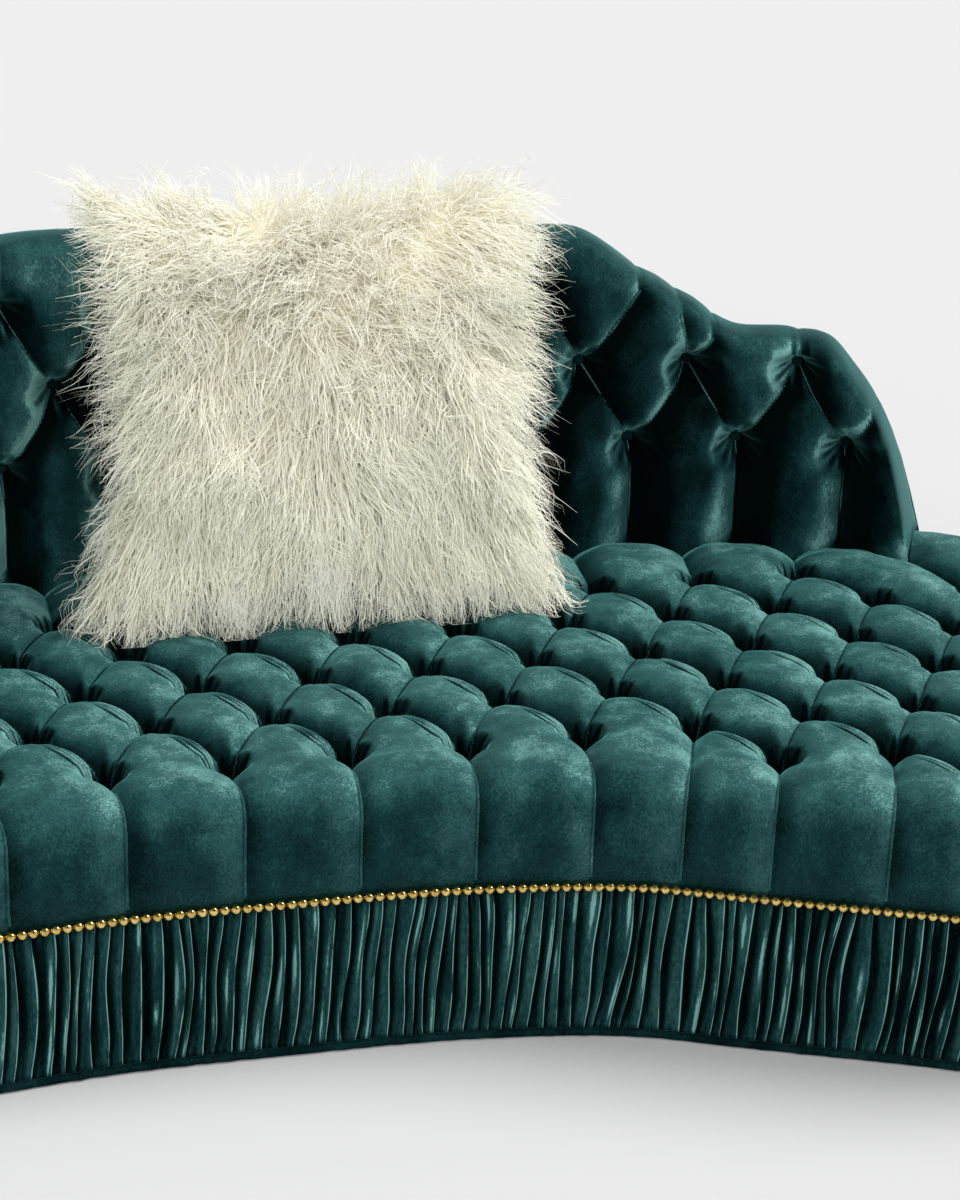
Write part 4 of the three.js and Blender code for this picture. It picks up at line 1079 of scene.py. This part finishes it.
def buildBackTrim():
    t = np.linspace(0.05, 0.95, 50)
    lines = onBack(np.array([between(a, b, t) for a, b in backDiagonal]), 0.0006)
    drops = onBack(np.array([between(a, b, t) for a, b in backUpright]), 0.0006)
    edge = backTrim["edgeRadius"] * np.sin(math.pi * t) ** 0.3
    dropTubes = tubes(drops, np.broadcast_to(edge, drops.shape[:2]), 8)
    piece = joined("back_seams", [beadedTubes(lines, backTrim["seamRadius"], 0.25), dropTubes])
    # Seams carry a painted highlight, lighter than the pile about them.
    dress(piece, velvet, "napAndPaintedLight", 0.72)
    # Covered buttons, of the back and then of the seat, kept dark as painted shade of the pits they sit
    # in.
    along, inset = alongFor(backSpots[:, 0]), backInsetAt(backSpots, False)
    centres = placeAt(along, inset - 0.001, backSpots[:, 1])
    outward = placeAt(along, inset + 0.01, backSpots[:, 1]) - centres
    outward[:, 2] = 0.0012
    onFace = domes(centres, unit(outward), backTrim["buttonRadius"], backTrim["buttonHeight"], 7, 20)
    low = onSeat(seatSpots, 0.0005)
    upward = np.tile([0.0, 0, 1], (len(low), 1))
    onTop = domes(low, upward, seatTrim["buttonRadius"], seatTrim["buttonHeight"], 7, 20)
    dress(joined("covered_buttons", [onFace, onTop]), velvet, "napAndPaintedLight", 0.3)


buildBackTrim()
print("scene: back seams and buttons made")


# Outer back: two covered boards and a welt along their top.

outside = {"spacing": 0.02, "rows": 26, "nailTop": 0.2428, "sag": 0.0022, "welt": 0.0042}


def buildOutside():
    ends = (plan["clearance"], backLength - plan["clearance"])
    along = np.linspace(*ends, round(backLength / outside["spacing"]) + 1)
    top = crestAt(along) - back["roll"]
    rise = np.linspace(0, 1, outside["rows"])[:, None]
    height = mixed(outside["nailTop"], top, rise)
    uneven = 1 + 0.3 * waves(np.stack([along, 0 * along], 1), 0.4, 3)
    outer = leaning(back["rearInset"], height) - outside["sag"] * np.sin(math.pi * rise) * uneven
    inner = leaning(back["rearInset"] + back["board"], height[::-1])
    inset, tall = np.vstack([outer, inner]), np.vstack([height, height[::-1]])
    points = placeAt(along[None], inset, tall)
    piece = meshFrom("outside_back", points.reshape(-1, 3), sweptFaces(*inset.shape))
    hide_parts("head_back_board", "foot_back_board")
    dress(piece, velvet, "napAndPaintedLight", 0.5)
    weltPath = placeAt(along, leaning(back["rearInset"], top) - 0.001, top)[None]
    welt = joined("back_welt", [tubes(weltPath, np.full(weltPath.shape[:2], outside["welt"]), 10)])
    dress(welt, velvet, "napAndPaintedLight", 0.5)


buildOutside()
print("scene: outside back made")


# Gathered skirt, hem band and nailheads.

skirt = {
    "foot": 0.0105,
    "top": 0.2275,
    "face": -0.0065,  # inset of the ridges
    "foldDepth": 0.019,
    "pitch": 0.0195,  # mean width of a gather
    "narrowest": 0.0035,
    "ridge": 0.9,  # share of a gather's width at which it stands out most
    "lean": 0.008,
    "bow": 0.004,
    "wander": 0.0022,  # how far an edge strays from its line
    "rows": 30,
    "thickness": 0.0011,
}
foldSteps = np.array([0, 0.1, 0.2, 0.3, 0.4, 0.5, 0.6, 0.7, 0.79, 0.835, 0.87, 0.905, 0.955])
hem = {
    "foot": 0.0018,
    "top": 0.0118,
    "face": -0.0062,
    "thickness": 0.0125,
    "columns": 1300,
    "sides": 14,
    "corner": 0.6,  # under 1 is squarer
    "tuck": (0.002, 0.010),  # room for the skirt's foot, behind the band's face
}


def circleOf(along):
    turned = along / perimeter * 2 * math.pi
    return np.stack([np.cos(turned), np.sin(turned)], 1)


def foldEdges(rng, starts, rise):
    # Where each gather starts at each height, and its width there.
    count = len(starts)
    ring = circleOf(starts)
    lean = skirt["lean"] + 0.005 * waves(ring * 9, 1, 15) + rng.uniform(-0.0025, 0.0025, count)
    bow = skirt["bow"] * waves(ring * 7, 1, 16)
    wander = rng.uniform(-skirt["wander"], skirt["wander"], (2, count))
    edge = starts + lean * (rise - 0.5) + bow * np.sin(math.pi * rise)
    edge = edge + wander[0] * np.sin(math.pi * rise * 1.7) + wander[1] * np.sin(math.pi * rise * 2.6)
    width = np.diff(np.concatenate([edge, edge[:, :1] + perimeter], 1), axis=1)
    width = np.maximum(width, skirt["narrowest"])
    width *= perimeter / width.sum(1, keepdims=True)
    before = np.concatenate([np.zeros((len(rise), 1)), np.cumsum(width, 1)[:, :-1]], 1)
    return edge[:, :1] + before, width


def foldDepths(rng, starts, rise):
    # How far the cloth stands out at each height, gather and step: 0 in a valley and about 1 on a ridge.
    count, ridge = len(starts), skirt["ridge"]
    depths = rng.uniform(0.5, 1.0, count)[None, :, None]
    valley = rng.uniform(0.02, 0.3, count)[None, :, None]
    t = foldSteps[None, None]
    climb = eased((t - valley) / 0.36) * (0.72 + 0.28 * np.clip(t / ridge, 0, 1) ** 2)
    fall = np.sqrt(np.clip(1 - ((t - ridge) / (1 - ridge)).clip(0, 1) ** 2, 0, 1))
    main = climb * fall * depths
    # Short gathers, which run out before they reach the other edge.
    small = rng.uniform(0.1, 0.55, (2, count))
    upper = np.clip(1 - (1 - rise) / small[0], 0, 1)[:, :, None]
    lower = np.clip(1 - rise / (0.7 * small[1]), 0, 1)[:, :, None]
    short = 0.5 - 0.5 * np.cos(2 * math.pi * t / ridge * 2)
    extra = 0.42 * short * np.where(t < ridge, 1, 0) * (upper + lower)
    ripple = np.sin(math.pi * t * 3 + starts[None, :, None] * 400)
    soft = 0.06 * ripple * np.sin(math.pi * rise * 2.2)[:, :, None]
    ends = np.maximum(1 - rise / 0.12, 1 - (1 - rise) / 0.12).clip(0, 1)[:, :, None]
    return main * (1 - 0.35 * ends) + extra * (1 - 0.5 * main) + soft


def skirtPaintedLight(rng, starts, rise, depth):
    # Painted light and shade: light on the ridges and dark in the valleys and just past each edge, with a
    # painted highlight down each edge and painted satin streaks beside it.
    count, t = len(starts), foldSteps[None, None]
    turned = starts / perimeter * 2 * math.pi
    spots = np.stack([turned * 60 + 0 * rise, 8 * rise + 0 * turned], -1)
    fade = (0.75 + 0.45 * waves(spots, 3, 17)).clip(0.15, 1.2)[:, :, None]
    paintedEdgeHighlight = np.exp(-(((t - 0.87) / 0.022) ** 2)) * rng.uniform(1.0, 1.7, count)[None, :, None] * fade
    paintedSatinStreak = 0
    for low, high in ((0.05, 0.5), (0.5, 0.95)):
        across = np.exp(-(((t - rng.uniform(0.45, 0.78, count)[None, :, None]) / 0.07) ** 2))
        middle, reach = rng.uniform(low, high, count), rng.uniform(0.08, 0.22, count)
        upward = np.exp(-(((rise - middle) / reach) ** 2))[:, :, None]
        strength = rng.uniform(-0.5, 1.1, count).clip(0, 1)[None, :, None]
        paintedSatinStreak = paintedSatinStreak + across * upward * strength
    deep = np.clip(depth, 0, 1)
    return 0.10 + 0.47 * eased(deep / 0.75) + paintedEdgeHighlight + paintedSatinStreak - 0.6 * eased((t - 0.88) / 0.05)


def buildSkirt():
    rng = np.random.default_rng(77)
    widths = rng.uniform(0.55, 1.45, round(perimeter / skirt["pitch"]))
    starts = np.concatenate([[0], np.cumsum(widths)[:-1]]) * perimeter / widths.sum()
    rise = np.linspace(0, 1, skirt["rows"])[:, None]
    edge, width = foldEdges(rng, starts, rise)
    along = (edge[:, :, None] + width[:, :, None] * foldSteps).reshape(len(rise), -1)
    depth = foldDepths(rng, starts, rise)
    sway = np.sin(math.pi * rise) ** 0.4
    outward = depth.reshape(len(rise), -1) * skirt["foldDepth"] * (0.45 + 0.55 * sway)
    outward = np.clip(outward, 0, skirt["foldDepth"])
    inset = skirt["face"] + skirt["foldDepth"] - outward + 0.0014 * (1 - sway)
    tucked = np.clip(inset, hem["face"] + hem["tuck"][0], hem["face"] + hem["tuck"][1])
    inset = mixed(inset, tucked, eased(1.6 - rise / 0.05))
    points = placeAt(along, inset, mixed(skirt["foot"], skirt["top"], rise))
    faces = [gridFaces(*inset.shape, closeColumns=True)]
    piece = meshFrom("gathered_skirt", points.reshape(-1, 3), faces)
    thick = piece.modifiers.new("thickness", "SOLIDIFY")
    thick.thickness = skirt["thickness"]
    thick.offset = -1
    length = float(np.mean(np.linalg.norm(np.roll(points, -1, 1) - points, axis=2).sum(1)))
    print("scene: skirt cloth", round(length, 3), "m long on", round(perimeter, 3), "m")
    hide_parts("skirt")
    napAndPaintedLight = skirtPaintedLight(rng, starts, rise, depth)
    dress(piece, skirtVelvet, "napAndPaintedLight", napAndPaintedLight.reshape(-1))
    return piece, length


def buildHem():
    along = np.arange(hem["columns"]) * perimeter / hem["columns"]
    angle = angles(hem["sides"])[:, None]
    across = np.sign(np.cos(angle)) * np.abs(np.cos(angle)) ** hem["corner"]
    upright = np.sign(np.sin(angle)) * np.abs(np.sin(angle)) ** hem["corner"]
    pucker = 0.0005 * waves(circleOf(along) * 30, 1, 9)
    half, tall = hem["thickness"] / 2, (hem["top"] - hem["foot"]) / 2
    inset = hem["face"] + half - across * (half + pucker[None] - 0.0006)
    height = hem["foot"] + tall + upright * (tall - 0.0001)
    points = placeAt(along[None], inset, height)
    faces = [gridFaces(*inset.shape, closeRows=True, closeColumns=True)]
    piece = meshFrom("hem_band", points.reshape(-1, 3), faces)
    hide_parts("skirt_hem_band")
    dress(piece, skirtVelvet, "napAndPaintedLight", 0.3)
    return piece


skirtPiece, skirtLength = buildSkirt()
hemPiece = buildHem()

nails = {
    "line": 0.235,  # height of their centres
    "pitch": 0.01495,  # from nail to nail
    "radius": 0.0074,
    "height": 0.0084,
    "face": -0.0022,
    "strip": 0.0008,  # half the height of the strip behind them
    "stripColumns": 1500,
    "stripSides": 6,
}
brass = metalMaterial("brassNails", (0.56, 0.38, 0.10), (0.86, 0.66, 0.25), 0.10)


def buildNails():
    # Separate nails on one thin strip that holds them together.
    count = round(perimeter / nails["pitch"])
    along = np.arange(count) * perimeter / count
    centres = placeAt(along, nails["face"], nails["line"])
    outward = unit(placeAt(along, nails["face"] - 0.01, nails["line"]) - centres)
    heads = domes(centres, outward, nails["radius"], nails["height"], 8, 16, -0.5)
    stations = np.arange(nails["stripColumns"]) * perimeter / nails["stripColumns"]
    angle = angles(nails["stripSides"])[:, None] + math.pi / 6
    inset = nails["face"] + 0.0015 - np.cos(angle) * 0.0016
    strip = placeAt(stations[None], inset, nails["line"] + np.sin(angle) * nails["strip"])
    faces = [gridFaces(*strip.shape[:2], closeRows=True, closeColumns=True)]
    piece = joined("nailheads", [heads, (strip.reshape(-1, 3), faces)])
    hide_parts("nailhead_strip")
    dress(piece, brass)
    return count


nailCount = buildNails()
print("scene: skirt, hem and", nailCount, "nailheads made")


# Fur pillow: a stuffed core and its strands.

pillow = {
    "half": (0.312, 0.282),
    "thick": 0.084,  # half the thickness
    "lean": 0.31,  # radians to the rear
    "grid": 41,
    "pieces": 8,
    "clumps": 985,
    "perClump": 4,
    "frontShare": 0.80,  # of the clumps, on the near face
    "steps": 9,
    "length": (0.070, 0.115),
    "radius": (0.0006, 0.0012),
    "wave": 0.0085,
    "loft": 0.004,  # how far a strand arches off the core
    "droop": 0.20,  # share of its length that a tip sinks
    "spread": 0.008,  # of the strands at their roots
    "flare": 0.006,  # of the strands at their tips
    "reach": (-0.19, 0.098),  # limits to the front and rear, before it leans
    "pastLow": (0.05, 0.02, 0.004),  # how far strands may pass the solid's box
    "pastHigh": (0.05, 0.0, 0.036),
    # The core is set dark, near the roots' painted shade of the fur's depth.
    "corePaintedShade": 0.35,
}
pillowLow, pillowHigh = (np.array(corner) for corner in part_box("fur_pillow"))
pillowMiddle = (pillowLow + pillowHigh) / 2


def pillowPoint(s, t, side):
    # Point of the stuffed core, before it leans: s and t run from -1 to 1 over its face.
    u, v = np.sin(math.pi / 2 * s), np.sin(math.pi / 2 * t)
    x = pillow["half"][0] * u * (1 - 0.15 * (1 - v * v) * u * u) * (1.0 - 0.06 * v + 0.04 * v * v)
    z = pillow["half"][1] * v * (1 - 0.07 * (1 - u * u) * v * v)
    swell = np.clip((1 - u**4) * (1 - v**4), 0, 1) ** 0.45
    return np.stack([x, side * pillow["thick"] * swell, z], -1)


def leaned(points):
    a = -pillow["lean"]
    y = points[..., 1] * math.cos(a) - points[..., 2] * math.sin(a)
    z = points[..., 1] * math.sin(a) + points[..., 2] * math.cos(a)
    return np.stack([points[..., 0], y, z], -1) + pillowMiddle


def furMaterial():
    material, nodes, links = newMaterial("ivoryFur")
    shader = nodes["Principled BSDF"]
    # From the cream of the roots' painted shade to the paler tips.
    stops = [(0.0, (0.95, 0.88, 0.66)), (0.45, (0.98, 0.94, 0.75)), (1.0, (0.99, 0.975, 0.84))]
    colour = rampOf(nodes, links, pointValueOf(nodes, "furToneAndRootShade"), stops)
    links.new(colour, shader.inputs["Base Color"])
    shader.inputs["Roughness"].default_value = 0.6
    shader.inputs["Specular IOR Level"].default_value = 0.3
    shader.inputs["Sheen Weight"].default_value = 0.8
    shader.inputs["Sheen Roughness"].default_value = 0.6
    fine = noiseOf(nodes, links, objectPoint(nodes, links), 1500, 2)
    links.new(bumpOf(nodes, links, fine, 0.2, 0.0003), shader.inputs["Normal"])
    return material


fur = furMaterial()


def strandPaths(rng, clumps, perClump):
    # Clumps of wavy strands that leave the core along its normal, comb outward and droop.
    s, t = (np.arcsin(rng.uniform(-1, 1, clumps)) * 2 / math.pi for _ in range(2))
    side = np.where(rng.uniform(size=clumps) < pillow["frontShare"], -1.0, 1.0)
    step = 0.01
    root = pillowPoint(s, t, side)
    ds = pillowPoint(s + step, t, side) - pillowPoint(s - step, t, side)
    dt = pillowPoint(s, t + step, side) - pillowPoint(s, t - step, side)
    normal = unit(np.cross(ds, dt) * -side[:, None], 1e-9)
    out = unit(root * [1, 0, 1], 0.05)
    rim = np.maximum(np.abs(s), np.abs(t)) ** 3
    swirl = np.stack([waves(root, 0.13, 51 + k) for k in range(3)], 1)
    down = np.array([0, 0, -1.0]) * (0.55 - 0.5 * t)[:, None]
    lifted = normal * (0.16 + 0.6 * np.clip(-t, 0, 1) ** 2)[:, None]
    comb = lifted + out * (0.35 + 0.8 * rim)[:, None] + 0.22 * swirl + down
    comb = unit(comb + rng.normal(size=(clumps, 3)) * 0.18)
    length = rng.uniform(*pillow["length"], clumps) * np.where(side > 0, 0.6, 1)
    k = np.linspace(0, 1, pillow["steps"])
    bend = rng.normal(size=(clumps, 3))
    phase = rng.uniform(0, 2 * math.pi, clumps)
    spine = root[:, None] + comb[:, None] * (length[:, None] * k)[..., None]
    spine[..., 2] -= pillow["droop"] * length[:, None] * k**2
    spine += bend[:, None] * (pillow["wave"] * np.sin(k * 12.0 + phase[:, None]) * k)[..., None]
    spine += normal[:, None] * (pillow["loft"] * np.sin(math.pi * k * 0.8))[None, :, None]
    # The spine of each clump becomes several strands.
    spine = np.repeat(spine, perClump, 0)
    count = len(spine)
    spread = rng.normal(size=(count, 3)) * pillow["spread"]
    flare = rng.normal(size=(count, 3)) * pillow["flare"]
    reach = rng.uniform(0.7, 1.1, count)[:, None, None]
    paths = spine[:, :1] + (spine - spine[:, :1]) * reach
    paths += spread[:, None] * (1 - 0.75 * k)[:, None] + flare[:, None] * (k**2)[:, None]
    sides = np.repeat(side, perClump)
    paths[sides > 0, :, 1] = np.minimum(paths[sides > 0, :, 1], pillow["reach"][1])
    paths[sides < 0, :, 1] = np.maximum(paths[sides < 0, :, 1], pillow["reach"][0])
    facing = unit(np.repeat(normal, perClump, 0) + rng.normal(size=(count, 3)) * 0.2)
    return leaned(paths), leaned(facing) - pillowMiddle, k


def buildCore():
    s, t = np.meshgrid(*[np.linspace(-1, 1, pillow["grid"])] * 2)
    front, rear = (leaned(pillowPoint(s, t, side)).reshape(-1, 3) for side in (-1, 1))
    quads = gridFaces(pillow["grid"], pillow["grid"])
    faces = [quads, quads[:, ::-1] + len(front)]
    core = meshFrom("pillow_core", np.vstack([front, rear]), faces, "pillow")
    weld = core.modifiers.new("weld", "WELD")
    weld.merge_threshold = 0.0002
    dress(core, fur, "furToneAndRootShade", pillow["corePaintedShade"])


def buildFur(number):
    rng = np.random.default_rng(404 + number)
    paths, facing, k = strandPaths(rng, pillow["clumps"], pillow["perClump"])
    paths = np.clip(paths, pillowLow - pillow["pastLow"], pillowHigh + pillow["pastHigh"])
    # The strands rest on the seat where they would go into it.
    flat = paths.reshape(-1, 3)
    floor = seatHeightAt(flat[:, :2] - shift, False) + 0.003 + 0.006 * rng.uniform(size=len(flat))
    flat[:, 2] = np.maximum(flat[:, 2], floor)
    count = len(paths)
    radius = rng.uniform(*pillow["radius"], count)[:, None] * (1 - k**1.8 * 0.88)[None]
    # Darker at the root, a painted shade deep in the fur, paler towards the tip, with a random tone for
    # each strand.
    toneAndRootShade = rng.uniform(-0.15, 0.15, count)[:, None] + 0.4 + 0.55 * k[None] ** 0.6
    points, faces = ribbons(paths, radius, facing)
    piece = meshFrom("pillow_fur_" + str(number + 1), points, faces, "pillow", False)
    if number == 0:
        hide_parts("fur_pillow")
    dress(piece, fur, "furToneAndRootShade", np.repeat(toneAndRootShade.reshape(-1), 3))
    return count


buildCore()
strandCount = sum(buildFur(number) for number in range(pillow["pieces"]))
print("scene: pillow made,", strandCount, "strands")


# Materials of the solid model's own pieces.

legWood = woodMaterial("legWood", (0.018, 0.011, 0.008), (0.045, 0.026, 0.016), 0.4, (1, 1, 0.2))
timber = woodMaterial("frameTimber", (0.36, 0.22, 0.11), (0.58, 0.40, 0.23), 0.62, (0.25, 1, 1))
plywood = woodMaterial("framePlywood", (0.44, 0.31, 0.18), (0.66, 0.50, 0.32), 0.66, (0.4, 0.4, 4))
springSteel = metalMaterial("springSteel", (0.30, 0.31, 0.32), (0.52, 0.53, 0.54), 0.38)
cambric = clothMaterial("blackCambric", (0.010, 0.010, 0.011), (0.026, 0.026, 0.028), 0.0016)
burlap = clothMaterial("burlapDeck", (0.23, 0.15, 0.075), (0.42, 0.30, 0.17), 0.003)
nodeLooks = {
    "leg": legWood,
    "block": timber,
    "seat_bearer": timber,
    "back_post": timber,
    "seat_spring": springSteel,
    "seat_deck": burlap,
    "head_dust": cambric,
    "foot_dust": cambric,
}
for nodeName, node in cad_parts.items():
    material = next((look for start, look in nodeLooks.items() if nodeName.startswith(start)), plywood)
    for i in range(len(node.material_slots)):
        node.material_slots[i].material = material
print("scene: frame pieces dressed")


# Floor, light and camera.

stage = {
    "reach": 30,
    "floor": (0.705, 0.705, 0.705),
    "floorBounce": (0.40, 0.40, 0.40),
    "world": 0.42,  # glow on the object
    "worldSeen": (0.25, 0.7, 0.85, 0.15),  # heights from and to, and the glow seen at each
    "lamps": {
        "key": {"energy": 2.3, "angle": 30, "toward": (0.9, 0.04, 1.0)},
        "fill": {"energy": 1.5, "angle": 60, "toward": (-0.2, -1.0, 0.7)},
    },
}


def seenDirectly(nodes, links):
    # 1 for what the camera sees, also in a reflection or through glass, and 0 for diffuse light.
    path = nodes.new("ShaderNodeLightPath")
    either, anyOf = nodes.new("ShaderNodeMath"), nodes.new("ShaderNodeMath")
    either.operation = anyOf.operation = "MAXIMUM"
    links.new(path.outputs["Is Camera Ray"], either.inputs[0])
    links.new(path.outputs["Is Glossy Ray"], either.inputs[1])
    links.new(either.outputs[0], anyOf.inputs[0])
    links.new(path.outputs["Is Transmission Ray"], anyOf.inputs[1])
    return anyOf.outputs[0]


def buildFloor():
    reach = stage["reach"]
    corners = [(-reach, -reach, 0), (reach, -reach, 0), (reach, reach, 0), (-reach, reach, 0)]
    mesh = bpy.data.meshes.new("floor")
    mesh.from_pydata(corners, [], [(0, 1, 2, 3)])
    floor = bpy.data.objects.new("floor", mesh)
    bpy.context.scene.collection.objects.link(floor)
    material, nodes, links = newMaterial("paleFloor")
    nodes.remove(nodes["Principled BSDF"])
    seen, bounce = nodes.new("ShaderNodeBsdfDiffuse"), nodes.new("ShaderNodeBsdfDiffuse")
    seen.inputs["Color"].default_value = (*stage["floor"], 1)
    bounce.inputs["Color"].default_value = (*stage["floorBounce"], 1)
    mix = nodes.new("ShaderNodeMixShader")
    links.new(seenDirectly(nodes, links), mix.inputs[0])
    links.new(bounce.outputs[0], mix.inputs[1])
    links.new(seen.outputs[0], mix.inputs[2])
    links.new(mix.outputs[0], nodes["Material Output"].inputs["Surface"])
    mesh.materials.append(material)


def buildWorld():
    # An even glow, which is a plain backdrop where it is seen directly: paler low down.
    world = bpy.data.worlds.new("studio")
    bpy.context.scene.world = world
    world.use_nodes = True
    nodes, links = world.node_tree.nodes, world.node_tree.links
    place, parts = nodes.new("ShaderNodeTexCoord"), nodes.new("ShaderNodeSeparateXYZ")
    links.new(place.outputs["Generated"], parts.inputs[0])
    strength = nodes.new("ShaderNodeMix")
    strength.inputs["A"].default_value = stage["world"]
    links.new(rangeOf(nodes, links, parts.outputs["Z"], stage["worldSeen"]), strength.inputs["B"])
    links.new(seenDirectly(nodes, links), strength.inputs["Factor"])
    glow = nodes["Background"]
    glow.inputs["Color"].default_value = (1, 1, 1, 1)
    links.new(strength.outputs["Result"], glow.inputs["Strength"])


def buildLamps():
    for lampName, look in stage["lamps"].items():
        light = bpy.data.lights.new(lampName, "SUN")
        light.energy = look["energy"]
        light.angle = math.radians(look["angle"])
        lamp = bpy.data.objects.new(lampName, light)
        lamp.rotation_euler = Vector(look["toward"]).to_track_quat("Z", "Y").to_euler()
        lamp.visible_glossy = lampName == "key"
        bpy.context.scene.collection.objects.link(lamp)


buildFloor()
buildWorld()
buildLamps()

view = {
    "place": (-1.017, -3.799, 2.228),
    "yaw": 0.274,
    "pitch": 0.41,
    "roll": 0.041,
    "focal": 3061,  # in pixels of the photograph
    "imageHeight": 1200,
    "sensor": 36,
}


def buildCamera():
    yaw, pitch, roll = view["yaw"], view["pitch"], view["roll"]
    level = math.cos(pitch)
    forward = Vector((math.sin(yaw) * level, math.cos(yaw) * level, -math.sin(pitch)))
    right = Vector((math.cos(yaw), -math.sin(yaw), 0))
    up = right.cross(forward)
    rolledRight = right * math.cos(roll) + up * math.sin(roll)
    rolledUp = up * math.cos(roll) - right * math.sin(roll)
    data = bpy.data.cameras.new("camera")
    data.sensor_width = view["sensor"]
    data.lens = view["sensor"] * view["focal"] / view["imageHeight"]
    data.clip_start, data.clip_end = 0.1, 100
    camera = bpy.data.objects.new("camera", data)
    turned = Matrix((rolledRight, rolledUp, -forward)).transposed().to_4x4()
    spot = Vector(view["place"]) + Vector((*shift, 0))
    camera.matrix_world = Matrix.Translation(spot) @ turned
    bpy.context.scene.collection.objects.link(camera)
    bpy.context.scene.camera = camera


buildCamera()
bpy.context.scene.view_settings.view_transform = "Standard"
print("scene: stage, light and camera ready")
